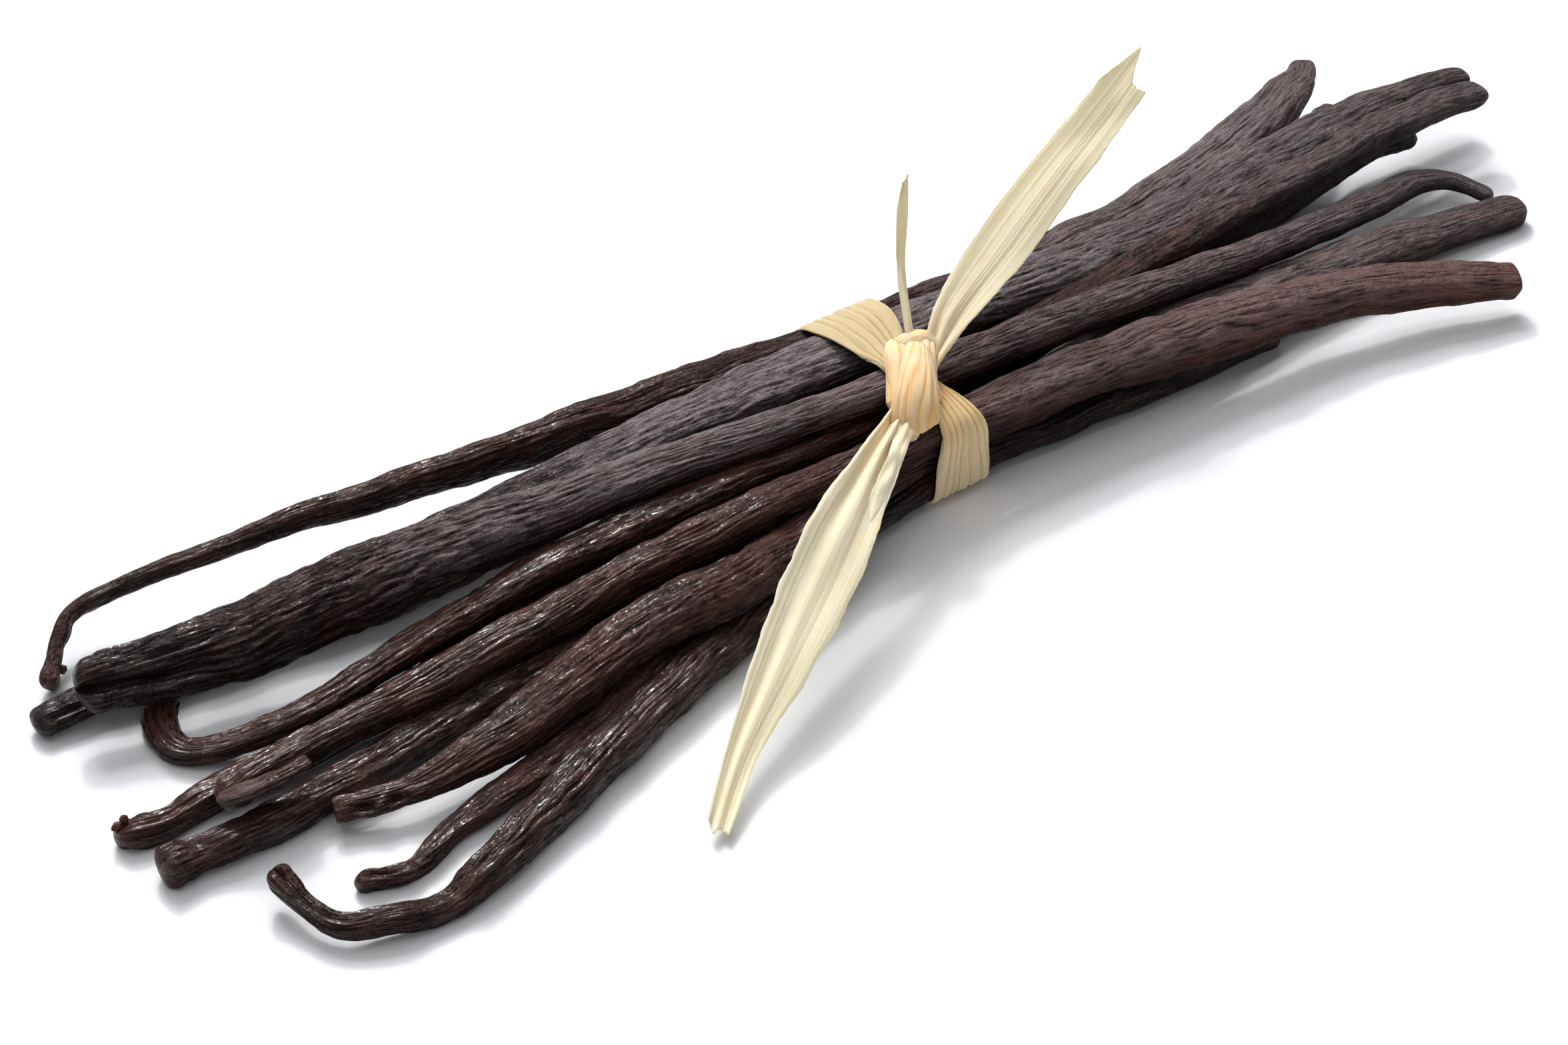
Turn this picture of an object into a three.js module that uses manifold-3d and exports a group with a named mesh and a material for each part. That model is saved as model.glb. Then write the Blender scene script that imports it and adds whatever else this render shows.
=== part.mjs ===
// A bundle of ten cured vanilla pods, held together by one strip of raffia tied round the middle.
//
// Millimetres. X runs along the bundle, Y across it and Z up, and the bundle lies on the plane Z = 0.
// The places below are measured from the tie, and the whole bundle is then moved so that the origin
// is on that plane, under the middle of the bundle's box.

import * as THREE from "three";
import { mergeVertices } from "three/addons/utils/BufferGeometryUtils.js";
import Module from "manifold-3d";

const wasm = await Module();
wasm.setup();

// ---- Driving dimensions ----

const BOX_MIDDLE_X = -1.5;
const BOX_MIDDLE_Y = -5;

const POD_SIDES = 10;
const RINGS_PER_SPAN = 3;
const LOBES = 3; // a pod is roundly three-cornered in section
const LOBE_DEPTH = 0.05; // as a share of its half width
const TIP_RINGS = 3;
const TIP_SMALLEST = 0.35; // the end's flat, as a share of the half width
const BLUNT = 1.0; // length of a rounded end, in half widths
const CUT = 0.25; // the same for an end that was cut square
const PRESSED_GAP = 0.3; // kept between pieces that lean on each other

const POD_COLOUR = 0x3a2420;
const PALEST = 1; // share of that colour on the palest pods, and how much darker each next shade is
const SHADE_STEP = 0.05;
const SHADES = 4;

const RAFFIA_THICKNESS = 0.6;
const BAND_WIDTH = 9;
const BAND_AT_KNOT = 3.4; // the strip is gathered where it enters the knot
const BAND_STEPS = 36;
const BAND_GAP = 0.4;
const BAND_X = 2; // middle of the band round the back and underside
const KNOT = new THREE.Vector3(-1.6, -3.8, 13.4);
const KNOT_ALONG = new THREE.Vector3(-0.56, -0.78, -0.3).normalize();
const KNOT_LENGTH = 9.5;
const KNOT_WIDTH = 5;
const KNOT_HEIGHT = 3.6;
const TIE_MIDDLE = new THREE.Vector2(2, 7); // Y and Z of the middle of the tied section
const GATHERED_TO = THREE.MathUtils.degToRad(10); // angle from the knot up to which it is gathered
const SPREAD_FROM = THREE.MathUtils.degToRad(110); // angle from which it lies spread
const STRIP_STEPS = 10;

// Each pod's way: places [x, y, z, width] along its middle line, from its end at -X to its end at +X.
// flatness is thickness over width. roll turns the broad face about the way, in degrees at the two
// ends: 0 has it facing up, 90 has it facing the front (-Y). Where two pods press on each other, the
// one listed later is dented.
const PODS = [
  {
    name: "pod_fat",
    flatness: 0.64,
    roll: [42, 30],
    ends: [BLUNT, BLUNT],
    way: [
      [-92, 14, 5.8, 5],
      [-80, 10.5, 6.5, 7],
      [-58, 7.5, 8.5, 7.9],
      [-35, 5.2, 9.5, 5.1],
      [-6, 0, 11.3, 4.1],
      [21.5, -0.9, 10.1, 4.3],
      [51, -0.5, 6.8, 3.7],
      [69, 1, 4.7, 3.5],
      [76.5, 2, 3.9, 3],
      [81.5, 1, 2.8, 2.3],
      [84.5, -3, 1.4, 1.8],
    ],
  },
  {
    name: "pod_folded",
    flatness: 0.75,
    roll: [60, 38],
    ends: [BLUNT, CUT],
    way: [
      [-87.6, -6, 3.7, 3],
      [-80, -5.5, 4.2, 3.1],
      [-58.5, -5.5, 5.9, 3.7],
      [-34.5, -5.5, 7.8, 4],
      [-4, -7, 9.2, 4.2],
      [16, -7.5, 8.5, 5.4],
      [34, -8.5, 7.2, 6.4],
      [48, -10, 6.2, 5.7],
      [60, -13, 5.1, 5.2],
      [73, -18.5, 3.6, 4.1],
    ],
    // its thin end is folded back over itself
    flap: [
      [-78.8, -8.7, 6.2, 1.9],
      [-82, -8.7, 5.9, 3],
      [-85.2, -8.1, 5.3, 3.3],
      [-87.8, -6.5, 4.3, 2.9],
    ],
  },
  {
    name: "pod_flat",
    flatness: 0.62,
    roll: [28, 22],
    ends: [CUT, BLUNT],
    way: [
      [-78.5, -12.5, 2.2, 2.8],
      [-73, -14.5, 2.7, 2.8],
      [-61, -15, 3.8, 4.9],
      [-39, -11.5, 6, 5.9],
      [-28.5, -12, 6.4, 5.5],
      [-2, -6, 5.9, 4.2],
      [35.5, -5, 4.5, 4.8],
      [68.5, -5, 2.7, 5],
      [86, -6.6, 1.6, 4],
    ],
  },
  {
    name: "pod_back_thin",
    flatness: 0.78,
    roll: [100, 20],
    ends: [CUT, BLUNT],
    way: [
      [-92, 20.5, 1.1, 2.4],
      [-88.5, 24.5, 3.2, 1.8],
      [-85.5, 26, 4.3, 1.9],
      [-70, 24, 6.3, 2.1],
      [-43, 19, 7.8, 4],
      [-20, 15.5, 8.1, 4.7],
      [8.5, 13, 8.1, 4],
      [43, 12.5, 7.8, 4.8],
      [65, 17, 7.8, 6.1],
      [75, 21.2, 7.8, 4.9],
      [79.3, 24.7, 7.6, 2.6],
    ],
  },
  {
    name: "pod_shiny",
    flatness: 0.72,
    roll: [10, 20],
    ends: [BLUNT, BLUNT],
    way: [
      [-96, 16.5, 1.3, 3.5],
      [-80, 15, 2.8, 4.4],
      [-40, 12.2, 6.2, 5.2],
      [-14.5, 10.3, 8.3, 6.5],
      [2, 8.8, 9.1, 6.9],
      [38.5, 7.5, 8.4, 6.5],
      [72, 12, 7.4, 5.8],
      [84, 12.6, 7, 4.5],
      [94, 12.5, 6.3, 3.4],
    ],
  },
  {
    name: "pod_front_hook",
    flatness: 0.8,
    roll: [45, 30],
    ends: [BLUNT, BLUNT],
    way: [
      [-88, -16.8, 3.2, 2.7],
      [-87.5, -21.5, 2.5, 2.1],
      [-86, -25.5, 2.1, 2.3],
      [-82.5, -27.5, 1.9, 2.6],
      [-77, -29, 1.3, 3],
      [-68.5, -27, 1.8, 4.1],
      [-43, -18, 2.2, 4.8],
      [-4, -7, 2.8, 4],
      [30, -7.9, 2.6, 3.7],
      [39, -8.4, 2.1, 3.3],
      [47, -8.9, 1.4, 2.5],
    ],
  },
  {
    name: "pod_hook",
    flatness: 0.82,
    roll: [30, 20],
    ends: [BLUNT, BLUNT],
    way: [
      [-84.2, 12.2, 1.7, 3.9],
      [-86.2, 8.2, 1.5, 3.4],
      [-85.9, 4.9, 1.3, 2.7],
      [-82.8, 2.4, 1.7, 2.6],
      [-75, 0.5, 2.9, 2.9],
      [-62.5, 1, 4.3, 3.3],
      [-42, 1.4, 6.4, 3.9],
      [-8, -0.5, 8.1, 3.8],
      [5, 0.5, 8.2, 3.8],
      [45, 4.5, 8.7, 4],
      [86, 8, 8, 3.8],
      [92, 7, 7.6, 3.4],
    ],
  },
  {
    name: "pod_disc_end",
    flatness: 0.84,
    roll: [50, 20],
    ends: [CUT, BLUNT],
    way: [
      [-96, -9.5, 1.7, 3.9],
      [-81, -10, 1.9, 3.9],
      [-57, -8.5, 2.7, 3.5],
      [-34, -6, 3, 3.6],
      [0, 1.5, 2.9, 3.8],
      [50, 11, 1.9, 3.6],
      [82, 21.2, 1.4, 3],
    ],
  },
  {
    name: "pod_knob",
    flatness: 0.84,
    roll: [20, 20],
    ends: [BLUNT, BLUNT],
    way: [
      [-97, -2, 1.2, 2.6],
      [-93.5, -3.5, 1.2, 3.2],
      [-87, -3, 1.4, 3.4],
      [-55, -1.5, 2.6, 3.8],
      [0, 4, 5.7, 3.8],
      [35, 4.5, 5.1, 4.6],
      [60, 8, 4.3, 4.8],
      [76, 10.7, 3.7, 3.5],
      [84, 10, 3.1, 2.7],
    ],
  },
  {
    name: "pod_front_thin",
    flatness: 0.84,
    roll: [20, 20],
    ends: [BLUNT, BLUNT],
    way: [
      [-81.5, -21, 0.9, 2.3],
      [-76.5, -22.5, 0.9, 2.3],
      [-70, -20.5, 1.1, 2.7],
      [-57, -18, 1.4, 3.4],
      [-22.5, -7.5, 2.3, 3.6],
      [-2, -3.5, 2.8, 3.6],
      [34, -4, 1.8, 3.6],
      [66, -8.5, 1.1, 2.8],
    ],
  },
];

// The raffia's free stretches, as ways of the same kind. facing is the way its broad face looks, and
// slant is how much further one edge reaches than the other where the end is torn aslant.
const WRAP = {
  facing: new THREE.Vector3(-0.3, -0.5, 0.8),
  slant: 0,
  way: [
    [0.2, -1.6, 13.2, 3],
    [-0.4, -2.4, 14.9, 3.6],
    [-1.7, -4.4, 15.1, 4],
    [-3.5, -6.8, 13.8, 3.8],
    [-3.8, -7, 12.4, 3],
  ],
};
const UPPER_TAIL = {
  facing: new THREE.Vector3(-0.26, -0.58, 0.75),
  slant: 4.5,
  way: [
    [0.5, -2.6, 13.8, 2.2],
    [3, -1.4, 15, 2.6],
    [7, 0.7, 16.6, 4.2],
    [15.5, 3.5, 20, 5.7],
    [26, 6.5, 24.5, 5.4],
    [32.3, 7.7, 27.9, 5],
    [36.3, 8.3, 30.5, 4.6],
  ],
};
const LOWER_TAIL = {
  facing: new THREE.Vector3(0, -0.4, 0.9),
  slant: 1,
  way: [
    [-2.6, -4.6, 13.6, 2],
    [-5.7, -6.6, 12.9, 2.4],
    [-11, -10, 12.2, 4.2],
    [-19, -15, 10.5, 6.9],
    [-26, -19.5, 8.5, 7.2],
    [-34, -24.5, 6.2, 5.8],
    [-42, -29.5, 3.6, 3.5],
    [-49.5, -35.5, 1.2, 2.5],
  ],
};
const SHRED = {
  facing: new THREE.Vector3(-0.45, -0.62, 0.64),
  slant: 0.5,
  way: [
    [0.8, -1.4, 13.4, 0.9],
    [2, 1.8, 16, 0.8],
    [4.6, 6.8, 20, 0.8],
    [6.3, 9, 25, 1.1],
    [7, 9.5, 29, 0.5],
  ],
};

// ---- Materials ----

const podSkin = (shade) =>
  new THREE.MeshStandardMaterial({
    color: new THREE.Color(POD_COLOUR).multiplyScalar(shade),
    roughness: 0.45,
    metalness: 0,
  });
const raffiaSkin = new THREE.MeshStandardMaterial({ color: 0xe6d3a0, roughness: 0.7, metalness: 0 });

// ---- Solids ----

/** The closed solid that a closed three.js geometry bounds. */
function solidOf(geometry) {
  const bare = geometry.clone();
  bare.deleteAttribute("normal");
  bare.deleteAttribute("uv");
  const merged = mergeVertices(bare, 1e-4);
  const mesh = new wasm.Mesh({
    numProp: 3,
    vertProperties: new Float32Array(merged.attributes.position.array),
    triVerts: new Uint32Array(merged.index.array),
  });
  return new wasm.Manifold(mesh);
}

/** The solid's largest body. A dent can part a sliver from it. */
function largestBody(solid) {
  const bodies = solid.decompose();
  bodies.sort((a, b) => b.volume() - a.volume());
  return bodies[0];
}

/** A THREE.Mesh of a solid. */
function meshOf(solid, name, material) {
  const found = solid.getMesh();
  const geometry = new THREE.BufferGeometry();
  geometry.setAttribute("position", new THREE.BufferAttribute(new Float32Array(found.vertProperties), 3));
  geometry.setIndex(new THREE.BufferAttribute(new Uint32Array(found.triVerts), 1));
  geometry.computeVertexNormals();
  const mesh = new THREE.Mesh(geometry, material);
  mesh.name = name;
  return mesh;
}

/** Everything below the plane that the bundle lies on. */
function belowFloor() {
  const size = 300;
  const block = new THREE.BoxGeometry(size, size, size);
  block.translate(0, 0, -size / 2);
  return solidOf(block);
}

// ---- Ways ----

/** The smooth curve through a way's places. */
function curveOf(way) {
  return new THREE.CatmullRomCurve3(way.map(([x, y, z]) => new THREE.Vector3(x, y, z)));
}

/** The width at t, where t runs from 0 to 1 over equal shares of the way's spans. */
function widthAt(way, t) {
  const along = t * (way.length - 1);
  const span = Math.min(Math.floor(along), way.length - 2);
  return THREE.MathUtils.lerp(way[span][3], way[span + 1][3], along - span);
}

/** Where a pod's rings are: t, how far each is moved out past the end, and its share of the full width. */
function ringsOf(curve, way, ends, growth) {
  const step = 1 / ((way.length - 1) * RINGS_PER_SPAN);
  const probe = 1e-3;
  const rings = [];
  const tipReach = [0, 1].map((end) => {
    const half = widthAt(way, end) / 2;
    const speed = curve.getPoint(end).distanceTo(curve.getPoint(Math.abs(end - probe))) / probe;
    return (ends[end] * half) / speed;
  });
  for (let k = 0; k < TIP_RINGS; k += 1) {
    const angle = (k / TIP_RINGS) * (Math.PI / 2);
    const share = Math.max(TIP_SMALLEST, Math.sin(angle));
    const inset = 1 - Math.cos(angle);
    rings.push({ t: tipReach[0] * inset, out: -growth, share });
    rings.push({ t: 1 - tipReach[1] * inset, out: growth, share });
  }
  for (let t = step; t < 1 - step / 2; t += step) {
    const clear = t > tipReach[0] && t < 1 - tipReach[1];
    if (clear) {
      rings.push({ t, out: 0, share: 1 });
    }
  }
  return rings.sort((a, b) => a.t - b.t);
}

/** The section's axes at t: along the way, across the broad face, and out of the broad face. */
function frameAt(curve, t, roll) {
  const along = curve.getTangent(t);
  const level = new THREE.Vector3(0, 0, 1).cross(along).normalize();
  const raised = new THREE.Vector3().crossVectors(along, level);
  const across = level.multiplyScalar(Math.cos(roll)).addScaledVector(raised, Math.sin(roll));
  const out = new THREE.Vector3().crossVectors(along, across);
  return { along, across, out };
}

/** A closed cylinder carried along a pod's way, ring by ring, with every half width grown by growth. */
function podGeometry({ way, flatness, roll, ends }, growth) {
  const curve = curveOf(way);
  const rings = ringsOf(curve, way, ends, growth);
  const geometry = new THREE.CylinderGeometry(1, 1, 1, POD_SIDES, rings.length - 1);
  const position = geometry.attributes.position;
  const v = new THREE.Vector3();
  for (let i = 0; i < position.count; i += 1) {
    v.fromBufferAttribute(position, i);
    const { t, out: past, share } = rings[Math.round((v.y + 0.5) * (rings.length - 1))];
    const turn = THREE.MathUtils.degToRad(THREE.MathUtils.lerp(roll[0], roll[1], t));
    const { along, across, out } = frameAt(curve, t, turn);
    const lobe = 1 + LOBE_DEPTH * Math.cos(LOBES * Math.atan2(v.x, v.z));
    const half = (widthAt(way, t) / 2) * share * lobe;
    const place = curve.getPoint(t).addScaledVector(along, past);
    place.addScaledVector(across, v.x * (half + growth));
    place.addScaledVector(out, -v.z * (half * flatness + growth));
    position.setXYZ(i, place.x, place.y, place.z);
  }
  return geometry;
}

/** A pod's solid. A folded pod is its body and the flap lying on it, grown together as one. */
function podSolid(pod, growth) {
  const body = solidOf(podGeometry(pod, growth));
  if (!pod.flap) {
    return body;
  }
  const flap = { ...pod, way: pod.flap, roll: [pod.roll[0], pod.roll[0]], ends: [BLUNT, BLUNT] };
  return body.add(solidOf(podGeometry(flap, growth)));
}

// ---- Raffia ----

/** Circles that hold the pods' sections near the tie: middle [y, z] and radius. */
function tiedSections() {
  const reach = BAND_WIDTH / 2 + RAFFIA_THICKNESS;
  const samples = 60;
  const circles = [];
  for (const { way } of PODS) {
    const curve = curveOf(way);
    for (let k = 0; k <= samples; k += 1) {
      const t = k / samples;
      const place = curve.getPoint(t);
      if (Math.abs(place.x - BAND_X) < reach) {
        circles.push({ y: place.y, z: place.z, radius: widthAt(way, t) / 2 });
      }
    }
  }
  return circles;
}

/** How far a plane facing the angle stands off the tie's middle when it touches the pods. */
function standOff(circles, angle) {
  const reaches = circles.map(
    ({ y, z, radius }) =>
      (y - TIE_MIDDLE.x) * Math.cos(angle) + (z - TIE_MIDDLE.y) * Math.sin(angle) + radius,
  );
  return Math.max(...reaches);
}

/** The outline [y, z] of a strip pulled tight round the pods and standing off them by gap. */
function tautOutline(gap) {
  const leastSlant = 0.2; // planes turned further away than this don't bound the outline here
  const circles = tiedSections();
  const angles = Array.from({ length: BAND_STEPS }, (_, k) => (k / BAND_STEPS) * 2 * Math.PI);
  const offs = angles.map((angle) => standOff(circles, angle) + gap);
  return angles.map((angle) => {
    const radii = angles.map((facing, k) => {
      const slant = Math.cos(angle - facing);
      return slant > leastSlant ? offs[k] / slant : Infinity;
    });
    const radius = Math.min(...radii);
    return new THREE.Vector2(
      TIE_MIDDLE.x + radius * Math.cos(angle),
      TIE_MIDDLE.y + radius * Math.sin(angle),
    );
  });
}

/** The band: a ring extruded along X, then gathered and drawn towards the knot. */
function bandGeometry(growth) {
  const ring = new THREE.Shape(tautOutline(BAND_GAP + RAFFIA_THICKNESS + growth));
  ring.holes.push(new THREE.Path(tautOutline(BAND_GAP - growth)));
  const geometry = new THREE.ExtrudeGeometry(ring, { depth: 1, steps: 2, bevelEnabled: false });
  const knotAngle = Math.atan2(KNOT.z - TIE_MIDDLE.y, KNOT.y - TIE_MIDDLE.x);
  const position = geometry.attributes.position;
  const v = new THREE.Vector3();
  for (let i = 0; i < position.count; i += 1) {
    v.fromBufferAttribute(position, i);
    const angle = Math.atan2(v.y - TIE_MIDDLE.y, v.x - TIE_MIDDLE.x);
    const apart = Math.abs(Math.atan2(Math.sin(angle - knotAngle), Math.cos(angle - knotAngle)));
    const spread = THREE.MathUtils.smoothstep(apart, GATHERED_TO, SPREAD_FROM);
    const width = THREE.MathUtils.lerp(BAND_AT_KNOT, BAND_WIDTH, spread) + 2 * growth;
    const middle = THREE.MathUtils.lerp(KNOT.x, BAND_X, spread);
    position.setXYZ(i, middle + (v.z - 0.5) * width, v.x, v.y);
  }
  return geometry;
}

/** A flat strip carried along a way: a thin box, bent so that its broad face looks towards facing. */
function stripGeometry({ way, facing, slant }, growth) {
  const curve = curveOf(way);
  const geometry = new THREE.BoxGeometry(1, 1, 1, STRIP_STEPS, 2, 1);
  const position = geometry.attributes.position;
  const v = new THREE.Vector3();
  for (let i = 0; i < position.count; i += 1) {
    v.fromBufferAttribute(position, i);
    const t = THREE.MathUtils.clamp(v.x + 0.5, 0, 1);
    const along = curve.getTangent(t);
    const across = new THREE.Vector3().crossVectors(facing, along).normalize();
    const out = new THREE.Vector3().crossVectors(along, across);
    const past = 2 * (t - 0.5) * growth + (t === 1 ? v.y * slant : 0);
    const place = curve.getPoint(t).addScaledVector(along, past);
    place.addScaledVector(across, v.y * (widthAt(way, t) + 2 * growth));
    place.addScaledVector(out, v.z * (RAFFIA_THICKNESS + 2 * growth));
    position.setXYZ(i, place.x, place.y, place.z);
  }
  return geometry;
}

/** The knot's body: an egg lying along the band, its length running down over the front. */
function knotGeometry(growth) {
  const geometry = new THREE.SphereGeometry(1, 14, 10);
  geometry.scale(KNOT_LENGTH / 2 + growth, KNOT_WIDTH / 2 + growth, KNOT_HEIGHT / 2 + growth);
  const across = new THREE.Vector3().crossVectors(WRAP.facing, KNOT_ALONG).normalize();
  const out = new THREE.Vector3().crossVectors(KNOT_ALONG, across);
  geometry.applyMatrix4(new THREE.Matrix4().makeBasis(KNOT_ALONG, across, out));
  geometry.translate(KNOT.x, KNOT.y, KNOT.z);
  return geometry;
}

/** The whole tie: band, knot, the strand wrapped over the knot, two tails and a torn shred. */
function tieSolid(growth) {
  const strips = [WRAP, UPPER_TAIL, LOWER_TAIL, SHRED].map((strip) => stripGeometry(strip, growth));
  return [bandGeometry(growth), knotGeometry(growth), ...strips]
    .map((geometry) => solidOf(geometry))
    .reduce((whole, piece) => whole.add(piece));
}

// ---- The bundle ----

const floor = belowFloor();
const bundle = new THREE.Group();
bundle.position.set(-BOX_MIDDLE_X, -BOX_MIDDLE_Y, 0);
bundle.add(meshOf(tieSolid(0).subtract(floor), "raffia_tie", raffiaSkin));

const inTheWay = [floor, tieSolid(PRESSED_GAP)];
for (const [index, pod] of PODS.entries()) {
  const pressed = inTheWay.reduce((solid, other) => solid.subtract(other), podSolid(pod, 0));
  const shade = PALEST - SHADE_STEP * (index % SHADES);
  bundle.add(meshOf(largestBody(pressed), pod.name, podSkin(shade)));
  inTheWay.push(podSolid(pod, PRESSED_GAP));
}

export default bundle;
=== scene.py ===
"""A bundle of ten cured vanilla pods tied with a strip of raffia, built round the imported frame.

A pod is a skin carried along a smooth way: an oval section with three flattened sides, its rings shrinking
to a pole at each end, with folds and wrinkles worked out from seeded noise in the skin's two directions.
The raffia is leaves: thin sheets with pleats, ribs and torn edges. The knot is pleated strands.
Ways and sizes are in millimetres from the middle of the tie, and meshes are in metres.
"""

import math
from dataclasses import dataclass, replace

import bpy
import numpy as np
from bpy.props import FloatProperty, FloatVectorProperty, PointerProperty
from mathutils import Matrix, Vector


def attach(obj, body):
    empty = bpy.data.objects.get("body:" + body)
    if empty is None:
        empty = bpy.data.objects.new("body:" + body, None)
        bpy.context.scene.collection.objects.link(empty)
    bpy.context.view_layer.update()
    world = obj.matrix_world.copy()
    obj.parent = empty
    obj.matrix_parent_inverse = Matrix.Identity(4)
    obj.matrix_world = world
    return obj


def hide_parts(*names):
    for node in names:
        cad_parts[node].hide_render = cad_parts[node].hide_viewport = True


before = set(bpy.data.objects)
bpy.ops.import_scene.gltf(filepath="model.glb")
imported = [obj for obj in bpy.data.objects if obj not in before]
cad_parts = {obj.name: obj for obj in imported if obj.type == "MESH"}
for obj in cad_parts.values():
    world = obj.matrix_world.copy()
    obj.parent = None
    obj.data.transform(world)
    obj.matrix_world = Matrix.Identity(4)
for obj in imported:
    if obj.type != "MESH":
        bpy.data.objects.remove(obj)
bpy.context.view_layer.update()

bl_info = {
    "name": "Vanilla pod bundle",
    "version": (1, 0, 0),
    "blender": (4, 5, 0),
    "location": "View3D > Sidebar > Vanilla",
    "description": "Builds a bundle of vanilla pods tied with raffia",
    "category": "Add Mesh",
}

# ---- Measures, in millimetres from the tie's middle on the floor ----

MM = 0.001
TIE = np.array([1.5, 5.0, 0.0])  # the tie's middle in the frame
UP = np.array([0.0, 0.0, 1.0])
TIE_MIDDLE = (2.0, 7.0)  # Y and Z of the middle of the tied section
KNOT_ANGLE = 132.0  # degrees about that middle at which the knot sits


@dataclass(frozen=True)
class Pod:
    """One pod. Several values in a row are spread evenly from its -X end to its +X end."""

    way: tuple  # places [x, y, z, width] along its middle line
    slot: str
    flatness: float  # thickness over width
    roll: tuple  # turn of the broad face about the way, in degrees
    ends: tuple = ("round", "round")
    sided: float = 0.6  # 0 for an oval section, 1 for one with flat sides
    kinks: tuple = (0.25, 0.12, 0.2)  # how far it wanders off its way, mm
    folds: tuple = (0.17, 0.14, 0.11)  # depth of the long folds, mm
    pitch: float = 0.72  # from fold to fold, mm
    wrinkles: tuple = (0.12, 0.09, 0.06)  # depth of the fine wrinkles, mm
    brown: tuple = (0.3, 0.3, 0.3)  # 0 for black skin, 1 for reddish brown
    oily: tuple = (0.85, 0.6, 0.5, 0.4, 0.3)  # 0 for dull skin, 1 for wet-looking
    lumpy: tuple = (0.25, 0.15)  # height of the soft lumps near its two ends, mm
    pitted: tuple = ()  # stretches [from x, to x, depth] with rows of small pits
    # bumps and dents: [end, mm from it, degrees, length, width, height in mm], where end is 0 for -X and
    # 1 for +X, and degrees are 0 for the side that faces +Y, 90 for the top and 180 for the front
    marks: tuple = ()
    lumps: tuple = ()  # small lumps grown on it: [x, y, z, length, width, brown]
    flap: tuple = ()  # the way of an end that is folded back, from its tip to the fold
    flap_marks: tuple = ()


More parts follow.
